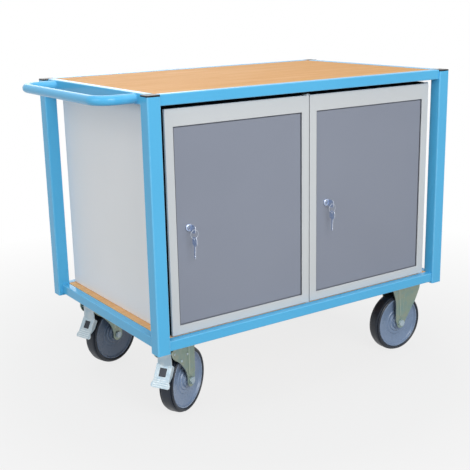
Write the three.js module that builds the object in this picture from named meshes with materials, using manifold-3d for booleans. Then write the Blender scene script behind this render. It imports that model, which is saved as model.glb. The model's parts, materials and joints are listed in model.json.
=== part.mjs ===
// Workbench trolley: a tube frame with a wooden worktop, a two-door steel cabinet on a shelf board,
// a push handle at the left end, two braked swivel casters at the left and two fixed ones at the right.
// Millimetres. X runs along the trolley, the doors face -Y, Z is up and the floor is at zero.
import * as THREE from "three";
import { mergeVertices } from "three/addons/utils/BufferGeometryUtils.js";
import Module from "manifold-3d";

const wasm = await Module();
wasm.setup();

// Overall sizes
const frameLength = 1100;
const frameWidth = 700;
const frameTop = 960;
const wheelRadius = 100;
const casterHead = 54;

// Clearances shared by all pieces
const seatGap = 0.3;
const turnGap = 0.4;
const overrun = 1;

// Frame tube
const postSide = 40;
const postWall = 2;
const postRound = 4;
const postDrop = 5;
const capHeight = 5;
const capPlugDepth = 14;
const railHeight = 30;
const railDepth = 25;
const railWall = 2;
const railRound = 3;
const sideRailInset = 5;
const endRailInset = 15;
const ledgeDepth = 12;
const ledgeThickness = 2.5;

// Boards
const worktopThickness = 20;
const worktopDrop = 1;
const shelfThickness = 15;
const boardGap = 0.6;

// Push handle
const handleDiameter = 27;
const handleWall = 2;
const handleReach = 107;
const handleInset = 93;
const handleBend = 48;
const handleDrop = 15;

// Cabinet
const cabinetSideInset = 63;
const cabinetBackInset = 32;
const cabinetTopGap = 10;
const sheet = 1.5;
const lipWidth = 18;
const dividerFlange = 44;

// Doors
const doorFrontInset = 26;
const doorDepth = 19;
const doorBackGap = 1;
const doorSeam = 3;
const doorEndGap = 0.7;
const doorTopBand = 48;
const doorBottomBand = 26.5;
const doorSideBand = 25;
const doorHingeBand = 26.5;
const panelRecess = 3.7;
const panelLap = 8;
const hingeInset = 4;
const hingeRodDiameter = 4;
const hingeHeadDiameter = 7;
const hingeHeadHeight = 1.5;
const hingeTabWidth = 16;
const hingeTabReach = 19;

// Locks and keys
const lockFromPanelEdge = 40;
const lockHeight = 303;
const bezelDiameter = 21;
const bezelHeight = 5.5;
const barrelDiameter = 17;
const plugDiameter = 10.6;
const camLength = 57;
const camWidth = 16;
const camThickness = 2;
const camSetback = 1.5;
const camScrewDiameter = 11;
const camScrewHeight = 3;
const keyThickness = 1.6;
const keyBladeWidth = 7.4;
const keyBladeLength = 21;
const keyNeck = 4;
const keyBowLength = 26;
const keyBowWidth = 23;
const keyHoleDiameter = 5.2;
const keyHoleMargin = 6;
const spareBladeLength = 33;
const ringRadius = 12;
const ringWire = 1.6;

// Casters
const tyreWidth = 46;
const tyreDepth = 12.5;
const tyreRound = 7;
const hubLength = 54;
const hubRadius = 21;
const hubSlope = 5.5;
const hubGap = 2;
const webThickness = 20;
const rimWidth = 40;
const rimDepth = 13;
const axleDiameter = 12;
const nutAcross = 21;
const nutHeight = 7.5;
const forkSheet = 4;
const forkRibHeight = 3;
const forkFootRadius = 20;
const forkNose = 12;
const casterEndInset = 104;
const casterSideInset = 109;
const casterTrail = 54;
const frontSwivelTurn = THREE.MathUtils.degToRad(28.9);
const backSwivelTurn = THREE.MathUtils.degToRad(17.9);
const plateThickness = 5;
const plateLength = 110;
const plateWidth = 135;
const plateRound = 10;
const plateBoltAcross = 16;
const plateBoltHeight = 6;
const plateBoltMargin = 15;
const raceRadius = 38;
const crownDrop = 21.7;
const crownThickness = 4;
const cupWall = 3.5;
const cupHeight = 9;
const kingpinRadius = 8;
const kingpinHeadRadius = 15;
const kingpinHeadHeight = 9;
const beamLength = 110;
const beamWall = 2;
const fixedPlateLength = 138;
const fixedPlateBack = 48;
const fixedFootRadius = 23;

// Brake pedal, from its pivot and down the slope of its tread
const pedalPivotInset = 10;
const pedalPivotDrop = 18;
const pedalPinDiameter = 8;
const pedalSheet = 4;
const pedalSideGap = 6;
const pedalUpperLength = 44;
const pedalShoeLength = 18;
const pedalSetback = 4;
const treadLength = 70;
const treadWidth = 52;
const treadFlare = 62;
const treadFlangeDepth = 12;
const treadFlangeSheet = 2.5;
const treadTurn = THREE.MathUtils.degToRad(29.5);
const windowWidth = 23;
const windowLength = 25;
const windowStart = 12;

// Segment counts
const wheelSegments = 28;
const roundSegments = 20;
const smallSegments = 12;
const cornerSegments = 2;
const arcSegments = 5;
const tyreSegments = 3;
const handleSegments = 8;
const bendSegments = 8;

// Levels and planes worked out from the sizes above
const casterHeight = 2 * wheelRadius + casterHead;
const railUnder = casterHeight;
const shelfRailTop = railUnder + railHeight;
const postFoot = railUnder - postDrop;
const postHead = frameTop - capHeight;
const shelfTop = shelfRailTop;
const worktopTop = frameTop - worktopDrop;
const halfLength = frameLength / 2;
const halfWidth = frameWidth / 2;
const sideRailOut = halfWidth - sideRailInset;
const sideRailIn = sideRailOut - railDepth;
const endRailOut = halfLength - endRailInset;
const endRailIn = endRailOut - railDepth;
const cabinetFoot = shelfTop + seatGap;
const cabinetHead = frameTop - railHeight - cabinetTopGap;
const halfCabinet = halfLength - cabinetSideInset;
const doorFront = -halfWidth + doorFrontInset;
const doorBack = doorFront + doorDepth;
const cabinetFront = doorBack + doorBackGap;
const cabinetBack = halfWidth - cabinetBackInset;
const doorFoot = cabinetFoot + sheet + doorEndGap;
const doorHead = cabinetHead - sheet - doorEndGap;
const doorWidth = halfCabinet - doorSeam / 2;
const panelFace = doorFront + panelRecess + seatGap;
const lockLevel = doorFoot + lockHeight;
const keyShoulder = panelFace - seatGap - bezelHeight - turnGap;
const keyRingFace = keyShoulder - keyNeck - keyBowLength + keyHoleMargin;
const keyRingSag = keyHoleDiameter / 2 - ringWire / 2 - seatGap;
const plateTop = casterHeight - seatGap;
const plateUnder = plateTop - plateThickness;
const crownTop = casterHeight - crownDrop;
const crownUnder = crownTop - crownThickness;
const forkInside = hubLength + 2 * hubGap;
const forkOutside = forkInside / 2 + forkSheet;
const casterX = halfLength - casterEndInset;
const casterY = halfWidth - casterSideInset;
const pedalPivotX = casterTrail - wheelRadius + pedalPivotInset;
const ledgeTopOfShelf = shelfTop - shelfThickness - seatGap;
const ledgeTopOfWorktop = worktopTop - worktopThickness - seatGap;
const axleReach = forkOutside + seatGap;

// Paint, metal, wood, plastic and rubber
const finishes = {
  frameBlue: { color: 0x5aaee0, roughness: 0.45, metalness: 0 },
  capBlack: { color: 0x16171a, roughness: 0.6, metalness: 0 },
  beech: { color: 0xd9aa76, roughness: 0.55, metalness: 0 },
  cabinetGrey: { color: 0xc4c9cd, roughness: 0.5, metalness: 0 },
  panelGrey: { color: 0x868c9a, roughness: 0.6, metalness: 0 },
  zinc: { color: 0xb9bdb4, roughness: 0.38, metalness: 0.9 },
  steel: { color: 0x9a9c9e, roughness: 0.4, metalness: 0.9 },
  chrome: { color: 0xd5d8da, roughness: 0.18, metalness: 1 },
  wheelGrey: { color: 0x74839a, roughness: 0.5, metalness: 0 },
  rubber: { color: 0x24262a, roughness: 0.8, metalness: 0 },
};

// Solids: joining and cutting closed meshes

function toSolid(geometry) {
  const bare = geometry.clone();
  bare.deleteAttribute("normal");
  bare.deleteAttribute("uv");
  const merged = mergeVertices(bare);
  const vertProperties = new Float32Array(merged.attributes.position.array);
  const triVerts = new Uint32Array(merged.index.array);
  return new wasm.Manifold(new wasm.Mesh({ numProp: 3, vertProperties, triVerts }));
}

function toGeometry(solid) {
  const mesh = solid.getMesh();
  const geometry = new THREE.BufferGeometry();
  geometry.setAttribute("position", new THREE.BufferAttribute(mesh.vertProperties, mesh.numProp));
  geometry.setIndex(new THREE.BufferAttribute(mesh.triVerts, 1));
  return geometry;
}

function join(...geometries) {
  const solids = geometries.map(toSolid);
  return toGeometry(solids.reduce((whole, piece) => whole.add(piece)));
}

function cut(geometry, ...tools) {
  const solids = tools.map(toSolid);
  return toGeometry(solids.reduce((whole, tool) => whole.subtract(tool), toSolid(geometry)));
}

// Blocks, tubes and rounds placed by their own limits

function block(x, y, z) {
  const [x0, x1] = x;
  const [y0, y1] = y;
  const [z0, z1] = z;
  const geometry = new THREE.BoxGeometry(x1 - x0, y1 - y0, z1 - z0);
  return geometry.translate((x0 + x1) / 2, (y0 + y1) / 2, (z0 + z1) / 2);
}

function roundedOutline(path, width, height, round) {
  const w = width / 2;
  const h = height / 2;
  path.moveTo(-w + round, -h);
  path.lineTo(w - round, -h);
  path.absarc(w - round, -h + round, round, -Math.PI / 2, 0);
  path.lineTo(w, h - round);
  path.absarc(w - round, h - round, round, 0, Math.PI / 2);
  path.lineTo(-w + round, h);
  path.absarc(-w + round, h - round, round, Math.PI / 2, Math.PI);
  path.lineTo(-w, -h + round);
  path.absarc(-w + round, -h + round, round, Math.PI, 1.5 * Math.PI);
  return path;
}

function tubeSection(width, height, wall, round) {
  const section = roundedOutline(new THREE.Shape(), width, height, round);
  section.holes.push(roundedOutline(new THREE.Path(), width - 2 * wall, height - 2 * wall, round / 2));
  return section;
}

function polygon(points) {
  return new THREE.Shape(points.map(([x, y]) => new THREE.Vector2(x, y)));
}

function rectangle(x, y) {
  return polygon([
    [x[0], y[0]],
    [x[1], y[0]],
    [x[1], y[1]],
    [x[0], y[1]],
  ]);
}

function extrude(section, depth, curveSegments) {
  return new THREE.ExtrudeGeometry(section, { depth, bevelEnabled: false, curveSegments });
}

// A section drawn in X and Y, raised along Z
function alongZ(section, z, curveSegments = cornerSegments) {
  return extrude(section, z[1] - z[0], curveSegments).translate(0, 0, z[0]);
}

// A section drawn in Y and Z, run along X
function alongX(section, x, curveSegments = cornerSegments) {
  const turn = new THREE.Matrix4().makeBasis(
    new THREE.Vector3(0, 1, 0),
    new THREE.Vector3(0, 0, 1),
    new THREE.Vector3(1, 0, 0),
  );
  return extrude(section, x[1] - x[0], curveSegments).applyMatrix4(turn).translate(x[0], 0, 0);
}

// A section drawn in X and Z, run along Y
function alongY(section, y, curveSegments = cornerSegments) {
  const turn = new THREE.Matrix4().makeBasis(
    new THREE.Vector3(1, 0, 0),
    new THREE.Vector3(0, 0, 1),
    new THREE.Vector3(0, -1, 0),
  );
  return extrude(section, y[1] - y[0], curveSegments).applyMatrix4(turn).translate(0, y[1], 0);
}

function rodZ(radius, z, segments = smallSegments) {
  const geometry = new THREE.CylinderGeometry(radius, radius, z[1] - z[0], segments);
  return geometry.rotateX(Math.PI / 2).translate(0, 0, (z[0] + z[1]) / 2);
}

function rodY(radius, y, segments = smallSegments) {
  const geometry = new THREE.CylinderGeometry(radius, radius, y[1] - y[0], segments);
  return geometry.translate(0, (y[0] + y[1]) / 2, 0);
}

function mesh(name, geometry, finish) {
  const item = new THREE.Mesh(geometry, new THREE.MeshStandardMaterial(finishes[finish]));
  item.name = name;
  return item;
}

const ends = [
  ["left", -1],
  ["right", 1],
];
const sides = [
  ["front", -1],
  ["back", 1],
];

// Corner posts with their plastic caps
function posts() {
  const group = new THREE.Group();
  const section = tubeSection(postSide, postSide, postWall, postRound);
  const plugSide = postSide - 2 * postWall - 2 * seatGap;
  const plugSection = roundedOutline(new THREE.Shape(), plugSide, plugSide, postRound / 2);
  const lidSection = roundedOutline(new THREE.Shape(), postSide, postSide, postRound);
  for (const [side, sideSign] of sides) {
    for (const [end, endSign] of ends) {
      const corner = new THREE.Group();
      corner.position.set(endSign * (halfLength - postSide / 2), sideSign * (halfWidth - postSide / 2), 0);
      corner.add(mesh(`${side}_${end}_post`, alongZ(section, [postFoot, postHead]), "frameBlue"));
      const lid = alongZ(lidSection, [postHead + seatGap, frameTop]);
      const plug = alongZ(plugSection, [postHead - capPlugDepth, postHead + seatGap + overrun]);
      corner.add(mesh(`${side}_${end}_post_cap`, join(lid, plug), "capBlack"));
      group.add(corner);
    }
  }
  return group;
}

// A rail is a tube with a ledge inside that carries a board
function sideRail(sign, under, ledgeTop) {
  const section = tubeSection(railDepth, railHeight, railWall, railRound);
  const reach = halfLength - postSide - seatGap;
  const tube = alongX(section, [-reach, reach]);
  tube.translate(0, sign * (sideRailOut - railDepth / 2), under + railHeight / 2);
  const ledgeY = [sign * (sideRailIn - ledgeDepth), sign * (sideRailIn + railWall / 2)];
  ledgeY.sort((a, b) => a - b);
  const ledge = block([-reach, reach], ledgeY, [ledgeTop - ledgeThickness, ledgeTop]);
  return join(tube, ledge);
}

function endRail(sign, under, ledgeTop) {
  const section = tubeSection(railDepth, railHeight, railWall, railRound);
  const reach = halfWidth - postSide - seatGap;
  const tube = alongY(section, [-reach, reach]);
  tube.translate(sign * (endRailOut - railDepth / 2), 0, under + railHeight / 2);
  const ledgeX = [sign * (endRailIn - ledgeDepth), sign * (endRailIn + railWall / 2)];
  ledgeX.sort((a, b) => a - b);
  const ledgeReach = Math.min(sideRailIn - ledgeDepth, halfWidth - postSide) - seatGap;
  const ledge = block(ledgeX, [-ledgeReach, ledgeReach], [ledgeTop - ledgeThickness, ledgeTop]);
  return join(tube, ledge);
}

function rails() {
  const group = new THREE.Group();
  const levels = [
    ["top", frameTop - railHeight, ledgeTopOfWorktop],
    ["bottom", railUnder, ledgeTopOfShelf],
  ];
  for (const [level, under, ledgeTop] of levels) {
    for (const [side, sign] of sides) {
      group.add(mesh(`${level}_${side}_rail`, sideRail(sign, under, ledgeTop), "frameBlue"));
    }
    for (const [end, sign] of ends) {
      group.add(mesh(`${level}_${end}_rail`, endRail(sign, under, ledgeTop), "frameBlue"));
    }
  }
  return group;
}

// The two boards lie inside the rails, on the ledges
function boards() {
  const group = new THREE.Group();
  const x = Math.min(endRailIn, halfLength - postSide) - boardGap;
  const y = sideRailIn - boardGap;
  group.add(mesh("worktop", block([-x, x], [-y, y], [worktopTop - worktopThickness, worktopTop]), "beech"));
  group.add(mesh("shelf_board", block([-x, x], [-y, y], [shelfTop - shelfThickness, shelfTop]), "beech"));
  return group;
}

// A centre line given by its stations, each a point and the direction there
class StationPath extends THREE.Curve {
  constructor(stations) {
    super();
    this.stations = stations;
  }

  station(u) {
    return this.stations[Math.round(u * (this.stations.length - 1))];
  }

  getPointAt(u) {
    return this.station(u).point.clone();
  }

  getTangentAt(u) {
    return this.station(u).direction.clone();
  }
}

// Push handle: one bent tube from end rail to end rail
function handle() {
  const start = -endRailOut - seatGap;
  const bar = -endRailOut - handleReach;
  const halfSpan = halfWidth - handleInset;
  const z = frameTop - handleDrop;
  const stations = [];
  const add = (x, y, alongX, alongY) => {
    const point = new THREE.Vector3(x, y, z);
    stations.push({ point, direction: new THREE.Vector3(alongX, alongY, 0) });
  };
  add(start, -halfSpan, -1, 0);
  for (let i = 0; i <= bendSegments; i++) {
    const a = (i / bendSegments) * (Math.PI / 2);
    const x = bar + handleBend * (1 - Math.sin(a));
    add(x, -halfSpan + handleBend * (1 - Math.cos(a)), -Math.cos(a), Math.sin(a));
  }
  for (let i = bendSegments; i >= 0; i--) {
    const a = (i / bendSegments) * (Math.PI / 2);
    const x = bar + handleBend * (1 - Math.sin(a));
    add(x, halfSpan - handleBend * (1 - Math.cos(a)), Math.cos(a), Math.sin(a));
  }
  add(start, halfSpan, 1, 0);
  const section = new THREE.Shape();
  section.absarc(0, 0, handleDiameter / 2, 0, 2 * Math.PI);
  const bore = new THREE.Path();
  bore.absarc(0, 0, handleDiameter / 2 - handleWall, 0, 2 * Math.PI, true);
  section.holes.push(bore);
  const extrudePath = new StationPath(stations);
  const options = { steps: stations.length - 1, curveSegments: handleSegments, extrudePath };
  return mesh("push_handle", new THREE.ExtrudeGeometry(section, options), "frameBlue");
}

// Cross beams between the lower side rails, which the casters are bolted to
function beams() {
  const group = new THREE.Group();
  const height = ledgeTopOfShelf - ledgeThickness - seatGap - railUnder;
  for (const [end, sign] of ends) {
    const section = tubeSection(beamLength, height, beamWall, railRound);
    const reach = sideRailIn - seatGap;
    const beam = alongY(section, [-reach, reach]);
    beam.translate(sign * casterX, 0, railUnder + height / 2);
    group.add(mesh(`${end}_caster_beam`, beam, "frameBlue"));
  }
  return group;
}

const hingeX = {
  left: -doorSeam / 2 - hingeInset,
  right: halfCabinet - hingeInset,
};
const hingeY = doorFront + hingeInset;

// Cabinet shell of folded sheet, with a lip round its mouth and a tab at each hinge rod
function cabinetBody() {
  const shell = block([-halfCabinet, halfCabinet], [cabinetFront, cabinetBack], [cabinetFoot, cabinetHead]);
  const room = block(
    [-halfCabinet + sheet, halfCabinet - sheet],
    [cabinetFront + sheet, cabinetBack - sheet],
    [cabinetFoot + sheet, cabinetHead - sheet],
  );
  const mouth = block(
    [-halfCabinet + lipWidth, halfCabinet - lipWidth],
    [cabinetFront - overrun, cabinetFront + sheet + overrun],
    [cabinetFoot + lipWidth, cabinetHead - lipWidth],
  );
  const tabs = [];
  const holes = [];
  for (const [end] of ends) {
    const x1 = Math.min(hingeX[end] + hingeTabWidth / 2, halfCabinet);
    const x = [x1 - hingeTabWidth, x1];
    const y = [cabinetFront - hingeTabReach, cabinetFront + sheet];
    tabs.push(block(x, y, [cabinetFoot, cabinetFoot + sheet]));
    tabs.push(block(x, y, [cabinetHead - sheet, cabinetHead]));
    const hole = rodZ(hingeRodDiameter / 2 + seatGap, [cabinetFoot - overrun, cabinetHead + overrun]);
    holes.push(hole.translate(hingeX[end], hingeY, 0));
  }
  return mesh("cabinet_body", cut(join(cut(shell, room, mouth), ...tabs), ...holes), "cabinetGrey");
}

// Partition between the two lockers, with a flange that the doors close against
function divider() {
  const flangeFace = cabinetFront + sheet + seatGap;
  const webBack = cabinetBack - sheet - seatGap;
  const w = dividerFlange / 2;
  const t = sheet / 2;
  const section = polygon([
    [-w, flangeFace],
    [w, flangeFace],
    [w, flangeFace + sheet],
    [t, flangeFace + sheet],
    [t, webBack],
    [-t, webBack],
    [-t, flangeFace + sheet],
    [-w, flangeFace + sheet],
  ]);
  const z = [cabinetFoot + sheet + seatGap, cabinetHead - sheet - seatGap];
  return mesh("cabinet_divider", alongZ(section, z), "cabinetGrey");
}

function hingeRods() {
  const group = new THREE.Group();
  for (const [end] of ends) {
    const headZ = [cabinetHead + seatGap, cabinetHead + seatGap + hingeHeadHeight];
    const head = rodZ(hingeHeadDiameter / 2, headZ);
    const rod = rodZ(hingeRodDiameter / 2, [cabinetFoot, cabinetHead + hingeHeadHeight]);
    const item = mesh(`${end}_door_hinge_rod`, join(rod, head), "zinc");
    item.position.set(hingeX[end], hingeY, 0);
    group.add(item);
  }
  return group;
}

// The places of one door's edges, panel and lock
function doorPlaces(end) {
  const x1 = end === "left" ? -doorSeam / 2 : halfCabinet;
  const x0 = x1 - doorWidth;
  const panelX = [x0 + doorSideBand, x1 - doorHingeBand];
  const panelZ = [doorFoot + doorBottomBand, doorHead - doorTopBand];
  return { x: [x0, x1], panelX, panelZ, lockX: panelX[0] + lockFromPanelEdge };
}

const grown = ([low, high], by) => [low - by, high + by];

// Door frame: a pan of folded sheet with a turned edge round the panel
function doorFrame(end) {
  const { x, panelX, panelZ } = doorPlaces(end);
  const z = [doorFoot, doorHead];
  const pan = block(x, [doorFront, doorBack], z);
  const hollow = block(grown(x, -sheet), [doorFront + sheet, doorBack + overrun], grown(z, -sheet));
  const edge = block(grown(panelX, sheet), [doorFront, doorFront + panelRecess], grown(panelZ, sheet));
  const opening = block(panelX, [doorFront - overrun, doorFront + panelRecess + overrun], panelZ);
  const bore = rodZ(hingeRodDiameter / 2 + seatGap, grown(z, overrun));
  bore.translate(hingeX[end], hingeY, 0);
  return mesh(`${end}_door_frame`, cut(join(cut(pan, hollow), edge), opening, bore), "cabinetGrey");
}

function doorPanel(end) {
  const { panelX, panelZ, lockX } = doorPlaces(end);
  const panel = block(grown(panelX, panelLap), [panelFace, panelFace + sheet], grown(panelZ, panelLap));
  const through = grown([panelFace, panelFace + sheet], overrun);
  const hole = rodY(barrelDiameter / 2 + seatGap, through, roundSegments);
  hole.translate(lockX, 0, lockLevel);
  return mesh(`${end}_door_panel`, cut(panel, hole), "panelGrey");
}

const camFace = cabinetFront + 2 * sheet + 2 * seatGap + turnGap + camSetback;

// Lock: a fixed barrel in the panel, a turning plug with its cam, and the key in the plug
function lockHousing() {
  const bezelY = [panelFace - seatGap - bezelHeight, panelFace - seatGap];
  const bezel = rodY(bezelDiameter / 2, bezelY, roundSegments);
  const barrel = rodY(barrelDiameter / 2, [panelFace - bezelHeight, camFace - turnGap], roundSegments);
  const boreY = [panelFace - 2 * bezelHeight, camFace + overrun];
  const bore = rodY(plugDiameter / 2 + seatGap, boreY, roundSegments);
  return cut(join(bezel, barrel), bore);
}

function lockPlug() {
  const face = panelFace - seatGap - bezelHeight;
  const plug = rodY(plugDiameter / 2, [face, camFace + camThickness], roundSegments);
  const w = camWidth / 2;
  const camBack = camFace + camThickness;
  const cam = block([-w, w], [camFace, camBack], [-w, camLength]);
  const screw = rodY(camScrewDiameter / 2, [camBack - camThickness / 2, camBack + camScrewHeight]);
  const slotX = keyThickness / 2 + seatGap;
  const slotZ = keyBladeWidth / 2 + seatGap;
  const slotEnd = keyShoulder + keyBladeLength + seatGap;
  const slot = block([-slotX, slotX], [face - overrun, slotEnd], [-slotZ, slotZ]);
  return cut(join(plug, cam, screw), slot);
}

// A key lies along Y with its blade end at +Y, its bow in Y and Z
function keyShape(bladeLength) {
  const t = keyThickness / 2;
  const b = keyBladeWidth / 2;
  const w = keyBowWidth / 2;
  const chamfer = w - b;
  const bowFoot = -keyNeck;
  const bowHead = bowFoot - keyBowLength;
  const outline = polygon([
    [bladeLength - b, -b],
    [bladeLength, 0],
    [bladeLength - b, b],
    [bowFoot, b],
    [bowFoot - chamfer / 2, w],
    [bowHead + chamfer, w],
    [bowHead, b],
    [bowHead, -b],
    [bowHead + chamfer, -w],
    [bowFoot - chamfer / 2, -w],
    [bowFoot, -b],
  ]);
  const hole = new THREE.Path();
  hole.absarc(bowHead + keyHoleMargin, 0, keyHoleDiameter / 2, 0, 2 * Math.PI, true);
  outline.holes.push(hole);
  return alongX(outline, [-t, t], arcSegments);
}

function lockSet(end) {
  const group = new THREE.Group();
  const { lockX } = doorPlaces(end);
  group.position.set(lockX, 0, lockLevel);
  group.add(mesh(`${end}_lock_housing`, lockHousing(), "chrome"));
  group.add(mesh(`${end}_lock_plug_and_cam`, lockPlug(), "steel"));
  const key = mesh(`${end}_key`, keyShape(keyBladeLength), "chrome");
  key.position.y = keyShoulder;
  group.add(key);
  // the ring lies on the lower edge of the hole, and the spare key hangs on the ring
  const ring = new THREE.TorusGeometry(ringRadius, ringWire / 2, smallSegments / 2, roundSegments);
  const ringItem = mesh(`${end}_key_ring`, ring.rotateX(Math.PI / 2), "steel");
  ringItem.position.set(0, keyRingFace, -keyRingSag - ringRadius);
  group.add(ringItem);
  const spare = mesh(`${end}_spare_key`, keyShape(spareBladeLength), "chrome");
  spare.rotation.x = -Math.PI / 2;
  const spareHole = -2 * (keyRingSag + ringRadius);
  spare.position.set(0, keyRingFace, spareHole - keyNeck - keyBowLength + keyHoleMargin);
  group.add(spare);
  return group;
}

// Wheels: the profile runs in radius and width, then turns about Y. Its radii are measured to the flats
// of the faceted round, and one flat lies at the bottom, so the wheel stands on it.
function wheelCore() {
  const bore = axleDiameter / 2 + turnGap;
  const rimOut = wheelRadius - tyreDepth - seatGap;
  const rimIn = rimOut - rimDepth;
  const hub = hubLength / 2;
  const web = webThickness / 2;
  const rim = rimWidth / 2;
  const half = [
    [bore, -hub],
    [hubRadius - hubSlope / 2, -hub],
    [hubRadius, -hub + hubSlope],
    [hubRadius + hubSlope, -web],
    [rimIn - hubSlope, -web],
    [rimIn, -rim],
    [rimOut, -rim],
  ];
  const mirrored = half.map(([r, w]) => [r, -w]).reverse();
  return turned([...half, ...mirrored], wheelSegments);
}

function tyre() {
  const inner = wheelRadius - tyreDepth;
  const half = tyreWidth / 2;
  const lip = (tyreWidth - rimWidth) / 2;
  const middle = wheelRadius - tyreRound;
  const points = [[inner, -half + lip], [inner + lip, -half]];
  for (let i = 0; i <= tyreSegments; i++) {
    const a = (i / tyreSegments) * (Math.PI / 2);
    points.push([middle + tyreRound * Math.sin(a), -half + tyreRound * (1 - Math.cos(a))]);
  }
  const mirrored = points.map(([r, w]) => [r, -w]).reverse();
  return turned([...points, ...mirrored], wheelSegments);
}

function turned(points, segments) {
  const halfStep = Math.PI / segments;
  const closed = [...points, points[0]].map(([r, w]) => new THREE.Vector2(r / Math.cos(halfStep), w));
  return new THREE.LatheGeometry(closed, segments, halfStep);
}

function axle() {
  const reach = axleReach + nutHeight;
  const shank = rodY(axleDiameter / 2, [-reach, reach], roundSegments);
  const cornerRadius = nutAcross / Math.sqrt(3);
  const head = rodY(cornerRadius, [-reach + nutHeight / 3, -axleReach], 6);
  const nut = rodY(cornerRadius, [axleReach, reach - nutHeight / 3], 6);
  return join(shank, head, nut);
}

function bothSides(makeLayer) {
  return [makeLayer(-1), makeLayer(1)];
}

function layer(section, sign, inner, outer) {
  const y = sign > 0 ? [inner, outer] : [-outer, -inner];
  return alongY(section, y, arcSegments);
}

// Swivel fork about its kingpin, with the wheel trailing toward +X of its own group
function swivelFork() {
  const leadX = pedalPivotX - forkNose;
  const heelX = casterTrail + forkFootRadius;
  const toeX = casterTrail - forkFootRadius;
  const inside = forkInside / 2;
  const leg = new THREE.Shape();
  const drop = crownTop - wheelRadius;
  leg.moveTo(heelX, crownTop);
  leg.lineTo(leadX, crownTop);
  // how far down and along the swept front edge of the leg each corner lies
  const sweepShares = [
    [0.06, 0.14],
    [-0.1, 0.25],
    [-0.45, 0.4],
    [-0.72, 0.57],
    [-0.9, 0.72],
    [-1, 0.86],
  ];
  const sweep = toeX - leadX;
  for (const [alongShare, downShare] of sweepShares) {
    leg.lineTo(leadX - alongShare * sweep, crownTop - downShare * drop);
  }
  leg.lineTo(toeX, wheelRadius);
  leg.absarc(casterTrail, wheelRadius, forkFootRadius, Math.PI, 2 * Math.PI);
  leg.lineTo(heelX, crownTop);
  const ribToe = toeX + forkSheet;
  const rib = polygon([
    [heelX, crownTop - forkSheet],
    [ribToe, crownTop - forkSheet],
    [ribToe, wheelRadius + nutAcross],
    [heelX, wheelRadius + nutAcross],
  ]);
  const legs = bothSides((sign) => layer(leg, sign, inside, forkOutside));
  const ribs = bothSides((sign) => layer(rib, sign, forkOutside - overrun, forkOutside + forkRibHeight));
  const crown = block([leadX, heelX], [-forkOutside, forkOutside], [crownUnder, crownTop]);
  const cupOut = rodZ(raceRadius + turnGap + cupWall, [crownUnder, crownTop + cupHeight], wheelSegments);
  const cupIn = rodZ(raceRadius + turnGap, [crownTop, crownTop + cupHeight + overrun], wheelSegments);
  const kingBore = rodZ(kingpinRadius + turnGap, [crownUnder - overrun, crownTop + overrun], roundSegments);
  const axleBore = rodY(axleDiameter / 2 + seatGap, grown([-axleReach, axleReach], overrun), roundSegments);
  axleBore.translate(casterTrail, 0, wheelRadius);
  const pinBore = rodY(pedalPinDiameter / 2 + turnGap, grown([-forkOutside, forkOutside], overrun));
  pinBore.translate(pedalPivotX, 0, crownTop - pedalPivotDrop);
  return cut(join(crown, cupOut, ...legs, ...ribs), cupIn, kingBore, axleBore, pinBore);
}

// Mounting plate with the heads of its four bolts under it
function boltPlate(length, width, shift) {
  const section = roundedOutline(new THREE.Shape(), length, width, plateRound);
  const plate = alongZ(section, [plateUnder, plateTop], arcSegments).translate(shift, 0, 0);
  const bolts = [];
  for (const [, endSign] of ends) {
    for (const [, sideSign] of sides) {
      const boltZ = [plateUnder - plateBoltHeight, plateUnder + overrun];
      const bolt = rodZ(plateBoltAcross / Math.sqrt(3), boltZ, 6);
      const x = shift + endSign * (length / 2 - plateBoltMargin);
      bolts.push(bolt.translate(x, sideSign * (width / 2 - plateBoltMargin), 0));
    }
  }
  return join(plate, ...bolts);
}

// Top plate with the upper race and the riveted kingpin under it
function swivelPlate() {
  const race = rodZ(raceRadius, [crownTop + seatGap, plateUnder + overrun], wheelSegments);
  const pin = rodZ(kingpinRadius, [crownUnder - kingpinHeadHeight, crownTop + plateThickness], roundSegments);
  const headZ = [crownUnder - seatGap - kingpinHeadHeight, crownUnder - seatGap];
  const head = rodZ(kingpinHeadRadius, headZ, roundSegments);
  return join(boltPlate(plateLength, plateWidth, 0), race, pin, head);
}

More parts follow.
